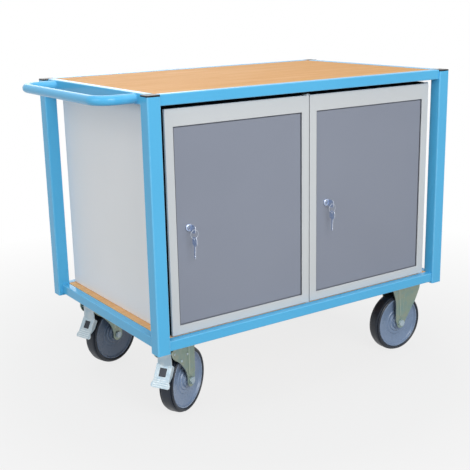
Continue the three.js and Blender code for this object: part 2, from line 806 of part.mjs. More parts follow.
// Brake pedal: an upright part on the pivot, then a sloping tread with a window and a flared foot
function brakePedal() {
  const pivotZ = crownTop - pedalPivotDrop;
  const backX = pedalPivotX - pedalSetback + pedalSheet / 2;
  const bendZ = pivotZ + pedalPinDiameter - pedalUpperLength;
  const u = forkInside / 2 - pedalSideGap;
  const uprightZ = [bendZ - pedalShoeLength, bendZ + pedalUpperLength];
  const upright = block([backX - pedalSheet, backX], [-u, u], uprightZ);
  const pin = rodY(pedalPinDiameter / 2, [-forkOutside, forkOutside]);
  pin.translate(pedalPivotX, 0, pivotZ);
  const eyeX = [backX - overrun, pedalPivotX + pedalPinDiameter / 2];
  const eye = block(eyeX, [-u, u], [pivotZ - pedalPinDiameter / 2, pivotZ + pedalPinDiameter / 2]);
  // the tread is drawn flat, its length along -Z and its face toward -X, and then leaned out
  const w = treadWidth / 2;
  const f = treadFlare / 2;
  const flareShares = [0.72, 0.84, 0.95];
  const [flareStart, flareEnd, footStart] = flareShares.map((share) => -share * treadLength);
  const outline = polygon([
    [w, 0],
    [-w, 0],
    [-w, flareStart],
    [-f, flareEnd],
    [-f, footStart],
    [-f + treadFlangeSheet, -treadLength],
    [f - treadFlangeSheet, -treadLength],
    [f, footStart],
    [f, flareEnd],
    [w, flareStart],
  ]);
  const window = rectangle([-windowWidth / 2, windowWidth / 2], [-windowStart - windowLength, -windowStart]);
  outline.holes.push(new THREE.Path(window.getPoints().reverse()));
  const face = alongX(outline, [-pedalSheet, 0]);
  const flanges = bothSides((sign) => {
    const y = sign > 0 ? [w - treadFlangeSheet, w] : [-w, -w + treadFlangeSheet];
    return block([-overrun, treadFlangeDepth], y, [flareStart, 0]);
  });
  const tread = join(face, ...flanges);
  tread.rotateY(treadTurn).translate(backX, 0, bendZ + pedalSheet / 2);
  return join(upright, eye, pin, tread);
}

function wheelSet(name) {
  const group = new THREE.Group();
  group.add(mesh(`${name}_axle`, axle(), "zinc"));
  group.add(mesh(`${name}_wheel`, wheelCore(), "wheelGrey"));
  group.add(mesh(`${name}_tyre`, tyre(), "rubber"));
  group.position.z = wheelRadius;
  return group;
}

function swivelCaster(side, sign, turn) {
  const name = `${side}_left`;
  const group = new THREE.Group();
  group.position.set(-casterX, sign * casterY, 0);
  group.add(mesh(`${name}_caster_plate`, swivelPlate(), "zinc"));
  const swivel = new THREE.Group();
  swivel.rotation.z = turn;
  swivel.add(mesh(`${name}_fork`, swivelFork(), "zinc"));
  swivel.add(mesh(`${name}_brake_pedal`, brakePedal(), "zinc"));
  const wheel = wheelSet(name);
  wheel.position.x = casterTrail;
  swivel.add(wheel);
  group.add(swivel);
  return group;
}

// Fixed fork: plate and legs in one, the legs swept out toward the end of the trolley
function fixedFork() {
  const shift = fixedPlateLength / 2 - fixedPlateBack;
  const plate = boltPlate(fixedPlateLength, plateLength, shift);
  const back = -fixedPlateBack;
  const ahead = fixedPlateLength - fixedPlateBack;
  const height = plateUnder - wheelRadius;
  const foot = fixedFootRadius;
  // how far out and up each corner of the leg lies
  const backShares = [
    [0.5, 0.1],
    [0.5, 0.5],
    [0.78, 0.8],
    [0.96, 1],
  ];
  const aheadShares = [
    [1, 1],
    [0.94, 0.77],
    [0.84, 0.62],
    [0.7, 0.45],
    [0.5, 0.28],
    [0.3, 0.1],
  ];
  const leg = new THREE.Shape();
  leg.absarc(0, wheelRadius, foot, Math.PI, 2 * Math.PI);
  for (const [outShare, upShare] of [...aheadShares].reverse()) {
    leg.lineTo(Math.max(outShare * ahead, foot), wheelRadius + upShare * height + overrun * upShare);
  }
  for (const [outShare, upShare] of [...backShares].reverse()) {
    leg.lineTo(Math.min(outShare * back, -foot), wheelRadius + upShare * height + overrun * upShare);
  }
  const rib = polygon([
    [-foot / 3, wheelRadius + nutAcross],
    [foot / 3, wheelRadius + nutAcross],
    [foot, plateUnder - forkSheet],
    [-foot, plateUnder - forkSheet],
  ]);
  const inside = forkInside / 2;
  const legs = bothSides((sign) => layer(leg, sign, inside, forkOutside));
  const ribs = bothSides((sign) => layer(rib, sign, forkOutside - overrun, forkOutside + forkRibHeight));
  const bore = rodY(axleDiameter / 2 + seatGap, grown([-axleReach, axleReach], overrun), roundSegments);
  return cut(join(plate, ...legs, ...ribs), bore.translate(0, 0, wheelRadius));
}

function fixedCaster(side, sign) {
  const name = `${side}_right`;
  const group = new THREE.Group();
  group.position.set(casterX, sign * casterY, 0);
  group.add(mesh(`${name}_fixed_fork`, fixedFork(), "zinc"));
  group.add(wheelSet(name));
  return group;
}

// The whole trolley, moved so that the middle of its footprint is at the origin
const trolley = new THREE.Group();
trolley.add(posts(), rails(), boards(), handle(), beams());
trolley.add(cabinetBody(), divider(), hingeRods());
for (const [end] of ends) {
  trolley.add(doorFrame(end), doorPanel(end), lockSet(end));
}
trolley.add(swivelCaster("front", -1, frontSwivelTurn), swivelCaster("back", 1, backSwivelTurn));
trolley.add(fixedCaster("front", -1), fixedCaster("back", 1));

const leftmost = -endRailOut - handleReach - handleDiameter / 2;
const frontmost = keyRingFace - keyBowWidth / 2;
trolley.position.set(-(leftmost + halfLength) / 2, -(frontmost + halfWidth) / 2, 0);

export default trolley;
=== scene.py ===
# Workbench trolley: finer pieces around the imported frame, their finishes, a pale floor and soft studio light.
# Shapes are drawn in millimetres and scaled once, in addPiece. X runs along the trolley and the doors face -Y.
import json
from math import atan2, cos, pi, radians, sin, sqrt, tan

import bmesh
import bpy
from mathutils import Matrix, Vector


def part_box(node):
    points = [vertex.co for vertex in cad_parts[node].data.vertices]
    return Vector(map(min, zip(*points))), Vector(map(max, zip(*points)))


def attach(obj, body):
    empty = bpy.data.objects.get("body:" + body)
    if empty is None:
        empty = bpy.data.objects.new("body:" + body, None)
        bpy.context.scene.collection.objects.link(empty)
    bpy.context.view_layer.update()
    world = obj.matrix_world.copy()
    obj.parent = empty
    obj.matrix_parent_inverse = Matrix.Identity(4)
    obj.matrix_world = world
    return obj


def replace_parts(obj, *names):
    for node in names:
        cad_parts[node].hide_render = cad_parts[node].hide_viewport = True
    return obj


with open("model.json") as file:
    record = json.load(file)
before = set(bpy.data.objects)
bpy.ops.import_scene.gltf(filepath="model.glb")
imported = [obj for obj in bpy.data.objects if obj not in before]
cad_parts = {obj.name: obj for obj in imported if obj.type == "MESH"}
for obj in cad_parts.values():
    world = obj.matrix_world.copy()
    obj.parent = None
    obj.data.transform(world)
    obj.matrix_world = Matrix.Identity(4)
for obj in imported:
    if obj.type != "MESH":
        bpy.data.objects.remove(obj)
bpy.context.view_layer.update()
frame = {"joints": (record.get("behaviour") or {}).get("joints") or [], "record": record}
mm = 0.001
joints = {joint["name"]: joint for joint in frame["joints"]}
bodyOf = {node: body for body, nodes in frame["record"]["behaviour"]["bodies"].items() for node in nodes}
ends, sides = ("left", "right"), ("front", "back")
cornerNames = [f"{side}_{end}" for side in sides for end in ends]


def span(node):
    low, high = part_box(node)
    return [(low[i] / mm, high[i] / mm) for i in range(3)]


def jointPoint(name):
    return Vector(joints[name]["pos_m"]) / mm


def grown(limits, by):
    return limits[0] - by, limits[1] + by


# a node's name in words becomes its piece's name: left_key, leftKey
def camel(node):
    first, *others = node.split("_")
    return first + "".join(word.capitalize() for word in others)


def addObject(name, data):
    thing = bpy.data.objects.new(name, data)
    bpy.context.scene.collection.objects.link(thing)
    return thing


# a section drawn in X and Y is turned to run along X or Y instead of Z
runX = Matrix(((0, 0, 1, 0), (1, 0, 0, 0), (0, 1, 0, 0), (0, 0, 0, 1)))
runY = Matrix(((1, 0, 0, 0), (0, 0, 1, 0), (0, 1, 0, 0), (0, 0, 0, 1)))


# corners are (x, y) or (x, y, radius); each one with a radius becomes a small arc
def roundOff(corners, steps):
    points, count = [], len(corners)
    for i, corner in enumerate(corners):
        here = Vector(corner[:2])
        toLast = Vector(corners[i - 1][:2]) - here
        toNext = Vector(corners[(i + 1) % count][:2]) - here
        radius = corner[2] if len(corner) > 2 else 0
        half = toLast.angle(toNext) / 2 if radius else pi / 2
        if radius <= 0 or half > pi / 2 - 0.02:
            points.append(tuple(here))
            continue
        u, v = toLast.normalized(), toNext.normalized()
        reach = min(radius / tan(half), toLast.length * 0.49, toNext.length * 0.49)
        centre = here + (u + v).normalized() * (reach / cos(half))
        start, end, arc = here + u * reach - centre, here + v * reach - centre, pi - 2 * half
        for k in range(steps + 1):
            t = k / steps
            points.append(tuple(centre + (start * sin((1 - t) * arc) + end * sin(t * arc)) / sin(arc)))
    return points


def roundRect(x, y, radius, steps=5):
    radius = max(0.05, min(radius, (x[1] - x[0]) / 2 - 0.01, (y[1] - y[0]) / 2 - 0.01))
    arcs = [(x[1], y[1], -1, -1, 0), (x[0], y[1], 1, -1, 90), (x[0], y[0], 1, 1, 180), (x[1], y[0], -1, 1, 270)]
    points = []
    for cornerX, cornerY, inX, inY, start in arcs:
        for k in range(steps + 1):
            a = radians(start + 90 * k / steps)
            points.append((cornerX + inX * radius + radius * cos(a), cornerY + inY * radius + radius * sin(a)))
    return points


def circle(radius, x=0, y=0, steps=40):
    return [(x + radius * cos(2 * pi * k / steps), y + radius * sin(2 * pi * k / steps)) for k in range(steps)]


# a smooth open line through its points, for edges that sweep
def smoothLine(points):
    line, steps = [], 4
    for i in range(len(points) - 1):
        p0, p1 = Vector(points[max(i - 1, 0)]), Vector(points[i])
        p2, p3 = Vector(points[i + 1]), Vector(points[min(i + 2, len(points) - 1)])
        for k in range(steps):
            t = k / steps
            bend = (2 * p0 - 5 * p1 + 4 * p2 - p3) * t * t + (3 * p1 - p0 - 3 * p2 + p3) * t ** 3
            line.append(tuple((2 * p1 + (p2 - p0) * t + bend) / 2))
    return line + [tuple(points[-1])]


# the outline moved inward by the same amount all round
def shrunk(ring, by):
    moved = []
    for i, point in enumerate(ring):
        here = Vector(point)
        before = (here - Vector(ring[i - 1])).normalized()
        after = (Vector(ring[(i + 1) % len(ring)]) - here).normalized()
        inward = Vector((-before.y - after.y, before.x + after.x))
        moved.append(tuple(here + inward * (by / max(0.4, 1 + before.dot(after)))))
    return moved


def turnedLeft(ring):
    area = sum(ring[i - 1][0] * p[1] - p[0] * ring[i - 1][1] for i, p in enumerate(ring))
    return ring if area > 0 else ring[::-1]


def bridge(bm, a, b):
    count = max(len(a), len(b))
    for i in range(count):
        j = (i + 1) % count
        corners = [a[i % len(a)], a[j % len(a)], b[j % len(b)], b[i % len(b)]]
        bm.faces.new(list(dict.fromkeys(corners)))


def toMesh(bm, name="shape"):
    mesh = bpy.data.meshes.new(name)
    bm.to_mesh(mesh)
    bm.free()
    return mesh


def cleaned(bm):
    bmesh.ops.remove_doubles(bm, verts=bm.verts, dist=0.0005)
    bmesh.ops.recalc_face_normals(bm, faces=bm.faces)
    return bm


def moved(mesh, *matrices):
    for matrix in matrices:
        mesh.transform(matrix)
        if matrix.determinant() < 0:
            mesh.flip_normals()
    return mesh


def at(x=0, y=0, z=0, turn=0):
    return Matrix.Translation((x, y, z)) @ Matrix.Rotation(turn, 4, "Z")


def together(*meshes):
    bm = bmesh.new()
    for mesh in meshes:
        bm.from_mesh(mesh)
        bpy.data.meshes.remove(mesh)
    return toMesh(bm)


# rings joined one to the next; closed runs round to the first again, otherwise both ends are filled
def stack(rings, closed=False):
    bm = bmesh.new()
    rows = [[bm.verts.new(point) for point in ring] for ring in rings]
    for a, b in zip(rows, rows[1:] + rows[:1] if closed else rows[1:]):
        bridge(bm, a, b)
    if not closed:
        for row in (rows[0], rows[-1]):
            if len(row) > 1:
                bm.faces.new(row)
    return toMesh(cleaned(bm))


# a profile of (inset, height) carried round a rectangle with round corners
def framed(profile, x, y, radius, closed=False):
    rings = []
    for inset, height in profile:
        ring = roundRect(grown(x, -inset), grown(y, -inset), radius - inset, 6)
        rings.append([(px, py, height) for px, py in ring])
    return stack(rings, closed)


# the levels of a plate's side with their insets, which soften its two rims
def softLevels(low, high, edge, steps):
    if not edge:
        return [(0, low), (0, high)]
    quarter = [(edge * (1 - sin(a)), edge * (1 - cos(a))) for a in (k / steps * pi / 2 for k in range(steps + 1))]
    return [(i, low + h) for i, h in quarter] + [(i, high - h) for i, h in reversed(quarter)]


# a plate cut to an outline, with holes, its edges softened
def slab(outline, low, high, edge=0.0, holes=(), steps=2):
    bm = bmesh.new()
    rims = []
    for ring, sign in [(outline, 1)] + [(hole, -1) for hole in holes]:
        ring = turnedLeft(ring)
        levels = softLevels(low, high, edge, steps)
        rows = [[bm.verts.new((x, y, h)) for x, y in shrunk(ring, sign * inset)] for inset, h in levels]
        for a, b in zip(rows, rows[1:]):
            bridge(bm, a, b)
        rims.append((rows[0], rows[-1]))
    for level in (0, 1):
        if holes:
            rows = [rim[level] for rim in rims]
            edges = [bm.edges.get((row[i - 1], row[i])) for row in rows for i in range(len(row))]
            bmesh.ops.triangle_fill(bm, use_beauty=True, edges=edges)
        else:
            bm.faces.new(rims[0][level])
    return toMesh(cleaned(bm))


def brick(x, y, z, edge=0.5, radius=0.6):
    return slab(roundRect(x, y, radius, 3), z[0], z[1], edge)


# a profile of (radius, height) turned about Z; it closes on itself unless it starts on the axis
def turned(profile, steps):
    rings = []
    for radius, height in profile:
        ring = circle(radius, steps=steps) if radius >= 0.001 else [(0, 0)]
        rings.append([(x, y, height) for x, y in ring])
    return stack(rings, closed=len(rings[0]) > 1)


# the same from corners, each with its small arc
def lathe(corners, arcSteps, steps):
    return turned(roundOff(corners, arcSteps), steps)


def rod(radius, low, high, edge, steps):
    return lathe([(0, low), (radius, low, edge), (radius, high, edge), (0, high)], 3, steps)


# a round tube along stations, each a point and its direction in a level plane
def bentTube(stations, outer, inner, steps):
    def ringsOf(radius):
        rings = []
        for point, direction in stations:
            side = Vector((-direction.y, direction.x, 0))
            angles = [2 * pi * k / steps for k in range(steps)]
            rings.append([point + side * radius * cos(a) + Vector((0, 0, radius * sin(a))) for a in angles])
        return rings
    return stack(ringsOf(outer) + ringsOf(inner)[::-1], closed=True)


def withModifier(mesh, kind, tool=None, **settings):
    holder = addObject("holder", mesh)
    modifier = holder.modifiers.new("work", kind)
    cutter = None
    if tool:
        modifier.object = cutter = addObject("cutter", tool)
    for key, value in settings.items():
        setattr(modifier, key, value)
    result = bpy.data.meshes.new_from_object(holder.evaluated_get(bpy.context.evaluated_depsgraph_get()))
    for item in filter(None, (holder, cutter)):
        used = item.data
        bpy.data.objects.remove(item)
        bpy.data.meshes.remove(used)
    return result


def combined(operation, mesh, others):
    for other in others:
        mesh = withModifier(mesh, "BOOLEAN", other, operation=operation, solver="EXACT")
    return mesh


def welded(mesh, *others):
    return combined("UNION", mesh, others)


def cutBy(mesh, *tools):
    return combined("DIFFERENCE", mesh, tools)


def keptWithin(mesh, *tools):
    return combined("INTERSECT", mesh, tools)


def softEdges(mesh, width, steps, angle):
    return withModifier(mesh, "BEVEL", width=width, segments=steps, use_clamp_overlap=True,
                        limit_method="ANGLE", angle_limit=radians(angle))


def colour(code):
    parts = [int(code[i:i + 2], 16) / 255 for i in (1, 3, 5)]
    return (*[p / 12.92 if p <= 0.04045 else ((p + 0.055) / 1.055) ** 2.4 for p in parts], 1)


# each input is a constant or another node's output
def fill(tree, node, inputs):
    for key, value in inputs.items():
        if isinstance(value, bpy.types.NodeSocket):
            tree.links.new(value, node.inputs[key])
        else:
            node.inputs[key].default_value = value
    return node


def addNode(tree, kind, inputs=None, **settings):
    node = tree.nodes.new(kind)
    for key, value in settings.items():
        setattr(node, key, value)
    return fill(tree, node, inputs or {})


# from here each function finds its tree through a node's output that it is given
def noise(place, scale, detail, stretch=(1, 1, 1), roughness=0.5, distortion=0.0):
    vector = addNode(place.id_data, "ShaderNodeMapping", {"Vector": place, "Scale": stretch}).outputs[0]
    inputs = {"Vector": vector, "Scale": scale, "Detail": detail, "Roughness": roughness, "Distortion": distortion}
    return addNode(place.id_data, "ShaderNodeTexNoise", inputs).outputs["Fac"]


def ranged(value, low, high, outLow=0.0, outHigh=1.0):
    inputs = {"Value": value, "From Min": low, "From Max": high, "To Min": outLow, "To Max": outHigh}
    return addNode(value.id_data, "ShaderNodeMapRange", inputs).outputs[0]


# noise as patches: nothing below the low level, all of it above the high one
def patches(place, scale, detail, low, high, outLow=0.0, outHigh=1.0, **more):
    return ranged(noise(place, scale, detail, **more), low, high, outLow, outHigh)


# roughness that drifts a little to both sides of its middle value
def drifting(place, scale, detail, middle, less, more):
    return patches(place, scale, detail, 0.3, 0.7, middle - less, middle + more)


def times(a, b):
    return addNode(a.id_data, "ShaderNodeMath", {0: a, 1: b}, operation="MULTIPLY").outputs[0]


# one colour over another by a share; each is a code or a node's output
def mixed(share, under, over):
    a, b = (colour(tint) if isinstance(tint, str) else tint for tint in (under, over))
    return addNode(share.id_data, "ShaderNodeMix", {0: share, 6: a, 7: b}, data_type="RGBA").outputs[2]


def bumped(height, strength, depth):
    inputs = {"Height": height, "Strength": strength, "Distance": depth * mm}
    return addNode(height.id_data, "ShaderNodeBump", inputs).outputs[0]


# the scales of the powder coat's patches, and the depth of its peel in millimetres
powder = dict(clouds=2.5, specks=1500, rubbed=60, gloss=240, peel=620, peelDepth=0.12, clearRoughness=0.07)
blueCoat = dict(colour="#56b7e7", shade="#51b2e3", edge="#93d2f2",
                roughness=0.34, shine=0.14, coat=0.4, peel=0.008, wear=0.3)
greyCoat = dict(colour="#ccd0d2", shade="#c9cdd0", edge="#e5e8ea",
                roughness=0.5, shine=0.35, coat=0.0, peel=0.1, wear=0.5)
# the cabinet shell's coat is the doors' grey painted paler, as painted light on the cabinet's sides
paintedLightCoat = dict(colour="#f3f5f7", shade="#eff2f4", edge="#f8f9fa",
                roughness=0.5, shine=0.35, coat=0.0, peel=0.1, wear=0.5)
panelCoat = dict(colour="#8a909e", shade="#878d9b", edge="#a6abb6",
                 roughness=0.6, shine=0.3, coat=0.0, peel=0.2, wear=0.4)


# powder coat: a fine peel, cloudy colour, fine specks, thinner along the edges
def powderCoat(place, edges, look):
    base = mixed(patches(place, powder["clouds"], 2, 0.35, 0.65), look["colour"], look["shade"])
    base = mixed(patches(place, powder["specks"], 1, 0.55, 0.8, 0, 0.3), base, look["shade"])
    rubbed = patches(place, powder["rubbed"], 4, 0.4, 0.62, 0.15, look["wear"], roughness=0.7)
    base = mixed(times(edges, rubbed), base, look["edge"])
    gloss = drifting(place, powder["gloss"], 3, look["roughness"], 0.05, 0.05)
    peel = bumped(noise(place, powder["peel"], 2), look["peel"], powder["peelDepth"])
    return {"Base Color": base, "Roughness": gloss, "Normal": peel, "Specular IOR Level": look["shine"],
            "Coat Weight": look["coat"], "Coat Roughness": powder["clearRoughness"]}


mould = dict(scuffsAndSheen=140, gloss=45, grainDepth=0.1)
capPlastic = dict(colour="#0c0d12", shade="#08090d", edge="#262830", driftScale=30,
                  roughness=0.36, shine=0.3, wear=0.35, grainScale=900, grain=0.15)
# the wheel's pale edge colour, laid on strongly, is a painted highlight along its rim lip and the rings of its dish
wheelPlastic = dict(colour="#7d91ae", shade="#758aa7", edge="#d3dbe4", driftScale=18,
                    roughness=0.3, shine=0.5, wear=0.9, grainScale=500, grain=0.1)
tyreRubber = dict(colour="#1a2432", shade="#141d2a", edge="#2a3442", driftScale=26,
                  roughness=0.38, shine=0.45, wear=0.35, grainScale=420, grain=0.25)
# a dead black that paints the shade in the gaps under the worktop and round the doors
shadeBlack = dict(colour="#14151a", shade="#0e0f13", edge="#1c1e24", driftScale=40,
                roughness=0.82, shine=0.0, wear=0.2, grainScale=1400, grain=0.5)


# moulded plastic, rubber and the black that paints shade: slight colour drift, fine grain, paler scuffs on the edges,
# which on the wheels are a painted highlight
def moulding(place, edges, look):
    drift = patches(place, look["driftScale"], 4, 0.35, 0.65, roughness=0.6)
    base = mixed(drift, look["colour"], look["shade"])
    scuffsAndSheen = patches(place, mould["scuffsAndSheen"], 3, 0.42, 0.66, 0.1, look["wear"])
    base = mixed(times(edges, scuffsAndSheen), base, look["edge"])
    gloss = drifting(place, mould["gloss"], 3, look["roughness"], 0.07, 0.08)
    grain = bumped(noise(place, look["grainScale"], 2), look["grain"], mould["grainDepth"])
    return {"Base Color": base, "Roughness": gloss, "Normal": grain, "Specular IOR Level": look["shine"]}


metal = dict(gloss=70, lines=260, lineDepth=0.06, edgeShare=0.55)
forkZinc = dict(tints=["#84978b", "#8f998b", "#7c9591"], edge="#b4bdb0", tintScale=16,
                metal=0.8, roughness=0.36, lines=(1, 1, 4), lineDepth=0.12)
brightZinc = dict(tints=["#abbdc7", "#a0b4c1", "#b9c5cb"], edge="#e1eaee", tintScale=22,
                  metal=0.6, roughness=0.45, lines=(5, 1, 1), lineDepth=0.1)
plainSteel = dict(tints=["#aab2c0", "#9ea8b8", "#b8bec8"], edge="#dfe3e8", tintScale=60,
                  metal=0.8, roughness=0.3, lines=(1, 6, 1), lineDepth=0.12)
brightChrome = dict(tints=["#b4c4e2", "#a4b7da", "#c6d2e6"], edge="#ffffff", tintScale=80,
                    metal=0.72, roughness=0.14, lines=(1, 1, 5), lineDepth=0.05)


# plated or bare metal: tints that drift into each other, fine draw lines, brighter edges
def plated(place, edges, look):
    tints, tintScale = look["tints"], look["tintScale"]
    base = mixed(patches(place, tintScale, 3, 0.38, 0.62, distortion=0.6), tints[0], tints[1])
    base = mixed(patches(place, tintScale * 2.3, 2, 0.45, 0.7), base, tints[2])
    base = mixed(times(edges, metal["edgeShare"]), base, look["edge"])
    gloss = drifting(place, metal["gloss"], 4, look["roughness"], 0.07, 0.1)
    lines = noise(place, metal["lines"], 2, stretch=look["lines"])
    lines = bumped(lines, look["lineDepth"], metal["lineDepth"])
    return {"Base Color": base, "Roughness": gloss, "Normal": lines, "Metallic": look["metal"]}


wood = dict(figure=9, rays=60, flecks=120, grain=90, grainHeight=0.25, grainDepth=0.15, edgeShare=0.4, shine=0.18)
topBeech = dict(colour="#d39f63", shade="#cc9758", ray="#bf874a", fleck="#a66b38", edge="#e8bb8d", roughness=0.55)
# the shelf board's beech is the worktop's beech painted brighter and warmer, as painted light on the board in the
# cabinet's shade
shelfBeechPaintedLight = dict(colour="#eebd86", shade="#e6b27a", ray="#d29a60", fleck="#a9733f", edge="#f2cfa2", roughness=0.55)


# beech: pale boards, long soft figure along X and the short dark flecks of the wood
def beechWood(place, edges, look):
    figure = patches(place, wood["figure"], 4, 0.34, 0.68, stretch=(0.35, 4, 4), distortion=1.2)
    base = mixed(figure, look["colour"], look["shade"])
    rays = patches(place, wood["rays"], 3, 0.5, 0.75, 0, 0.45, stretch=(0.5, 7, 7), roughness=0.6)
    base = mixed(rays, base, look["ray"])
    flecks = patches(place, wood["flecks"], 1, 0.68, 0.76, 0, 0.6, stretch=(1.2, 9, 9))
    base = mixed(flecks, base, look["fleck"])
    base = mixed(times(edges, wood["edgeShare"]), base, look["edge"])
    gloss = ranged(figure, 0, 1, look["roughness"], look["roughness"] + 0.1)
    grain = noise(place, wood["grain"], 3, stretch=(0.6, 9, 9))
    grain = bumped(grain, wood["grainHeight"], wood["grainDepth"])
    return {"Base Color": base, "Roughness": gloss, "Normal": grain, "Specular IOR Level": wood["shine"]}


def newMaterial(name):
    material = bpy.data.materials.new(name)
    material.use_nodes = True
    tree = material.node_tree
    return material, tree, addNode(tree, "ShaderNodeTexCoord").outputs["Object"]


# a maker fills the shader's sockets from object coordinates and the edge share kept on the mesh, for worn edges and, on
# the wheels, a painted highlight
def makeFinish(name, maker, slotName, look):
    material, tree, place = newMaterial(name)
    material["slot"] = slotName
    edges = addNode(tree, "ShaderNodeAttribute", attribute_name="worn").outputs["Fac"]
    fill(tree, tree.nodes["Principled BSDF"], maker(place, edges, look))
    return material


finishes = {row[0]: makeFinish(*row) for row in (
    ("frameBlue", powderCoat, "frame_blue", blueCoat),
    ("cabinetGrey", powderCoat, "cabinet_grey", greyCoat),
    ("shellGreyPaintedLight", powderCoat, "cabinet_grey", paintedLightCoat),
    ("panelGrey", powderCoat, "panel_grey", panelCoat),
    ("capBlack", moulding, "cap_black", capPlastic),
    ("wheelGrey", moulding, "wheel_grey", wheelPlastic),
    ("rubber", moulding, "rubber", tyreRubber),
    ("paintedShadeBlack", moulding, "rubber", shadeBlack),
    ("forkZinc", plated, "zinc", forkZinc),
    ("brightZinc", plated, "zinc", brightZinc),
    ("steel", plated, "steel", plainSteel),
    ("chrome", plated, "chrome", brightChrome),
    ("beech", beechWood, "beech", topBeech),
    ("shelfBeechPaintedLight", beechWood, "beech", shelfBeechPaintedLight),
)}
print(f"finishes: {len(finishes)} made")


# the width of the flat that each face belongs to: twice its area over the length of its rim
def flatWidths(bm):
    widths, flatBend = {}, radians(1)
    for start in bm.faces:
        if start in widths:
            continue
        flat, waiting, rim = {start}, [start], 0
        while waiting:
            for edge in waiting.pop().edges:
                fresh = [face for face in edge.link_faces if face not in flat]
                bend = edge.calc_face_angle(9)
                if fresh and bend < flatBend:
                    flat.update(fresh)
                    waiting += fresh
                elif bend >= flatBend:
                    rim += edge.calc_length()
        width = 2 * sum(face.calc_area() for face in flat) / max(rim, 1e-6)
        widths.update((face, width) for face in flat)
    return widths


# wear and the wheels' painted highlight start at this outward bend, in degrees, are full this much farther on, and stay
# off wide flats
wear = dict(start=9, fullAfter=14, widest=3)


# 1 along convex edges, fading to 0 on the flats beside them
def markEdgeWearAndSheen(bm):
    layer = bm.verts.layers.float.new("worn")
    widths = flatWidths(bm)
    for vert in bm.verts:
        bend = max((edge.calc_face_angle_signed(0) for edge in vert.link_edges if len(edge.link_faces) == 2), default=0)
        narrow = max((widths[face] for face in vert.link_faces), default=0) < wear["widest"] * mm
        share = (bend - radians(wear["start"])) / radians(wear["fullAfter"])
        vert[layer] = min(1, max(0, share)) if narrow else 0


def addPiece(name, mesh, finish, body, place=None, sharp=34):
    moved(mesh, *([place] if place else []), Matrix.Scale(mm, 4))
    bm = bmesh.new()
    bm.from_mesh(mesh)
    bmesh.ops.remove_doubles(bm, verts=bm.verts, dist=2e-6)
    bmesh.ops.dissolve_degenerate(bm, edges=bm.edges, dist=1e-6)
    bmesh.ops.recalc_face_normals(bm, faces=bm.faces)
    for face in bm.faces:
        face.smooth = True
    markEdgeWearAndSheen(bm)
    bm.to_mesh(mesh)
    bm.free()
    mesh.set_sharp_from_angle(angle=radians(sharp))
    mesh.name = name
    mesh.materials.clear()
    mesh.materials.append(finishes[finish])
    piece = addObject(name, mesh)
    even = piece.modifiers.new("evenShading", "WEIGHTED_NORMAL")
    even.keep_sharp = True
    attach(piece, body)
    return piece


# a finer piece that stands for a CAD node, on the same body and in the same place
def redraw(node, mesh, finish, place=None, sharp=34):
    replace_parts(addPiece(camel(node), mesh, finish, bodyOf[node], place, sharp), node)


tube = dict(postWall=2, postRound=4, railWall=2, railRound=3, endEdge=0.4)


# a square or oblong tube: its wall profile is carried round the section
def tubeMesh(x, y, z, wall, radius):
    e = tube["endEdge"]
    profile = roundOff([(0, z[0], e), (0, z[1], e), (wall, z[1], e), (wall, z[0], e)], 2)
    return framed(profile, x, y, radius, closed=True)


cap = dict(lid=4.7, lidEdge=1.5, crown=0.5, flat=9, plugInset=2.3, plugLead=2)


def capMesh(node):
    x, y, z = span(node)
    head, plug, lead = z[1], cap["plugInset"], cap["plugLead"]
    foot = head - cap["lid"]
    corners = [(plug + lead + 1, z[0]), (plug, z[0] + lead, 0.8), (plug, foot), (0, foot, 0.4),
               (0, head - cap["crown"], cap["lidEdge"]), (cap["flat"], head), (cap["flat"] + 2, head)]
    return framed(roundOff(corners, 4), x, y, tube["postRound"])


ledge = dict(deep=12, thick=2.5, lap=1, underBoard=0.3, short={"x": 0.6, "y": 2})


# the rail's tube with the ledge that the board lies on
def railMesh(node, board, along):
    x, y, z = span(node)
    across, length, turn = (y, x, runX) if along == "x" else (x, y, runY)
    outward = 1 if across[0] > 0 else -1
    out, tip = (across[1], across[0]) if outward > 0 else across
    inner = out - outward * (abs(out - tip) - ledge["deep"])
    body = tubeMesh(sorted((out, inner)), z, length, tube["railWall"], tube["railRound"])
    top = span(board)[2][0] - ledge["underBoard"]
    strip = brick(sorted((tip, inner + outward * ledge["lap"])), (top - ledge["thick"], top),
                  grown(length, -ledge["short"][along]), 0.3, 0.5)
    return welded(moved(body, turn), moved(strip, turn))


for corner in cornerNames:
    post = f"{corner}_post"
    redraw(post, tubeMesh(*span(post), tube["postWall"], tube["postRound"]), "frameBlue")
    redraw(f"{post}_cap", capMesh(f"{post}_cap"), "capBlack")
for level, board in {"top": "worktop", "bottom": "shelf_board"}.items():
    for part, along in {"front": "x", "back": "x", "left": "y", "right": "y"}.items():
        rail = f"{level}_{part}_rail"
        redraw(rail, railMesh(rail, board, along), "frameBlue")
for end in ends:
    beam = f"{end}_caster_beam"
    x, y, z = span(beam)
    redraw(beam, moved(tubeMesh(x, z, y, tube["railWall"], tube["railRound"]), runY), "frameBlue")
print("frame: posts, caps, rails and beams made")


handle = dict(radius=13.5, wall=2, bend=48, bendSteps=14, beadRadius=1.5, beadReach=2.6)


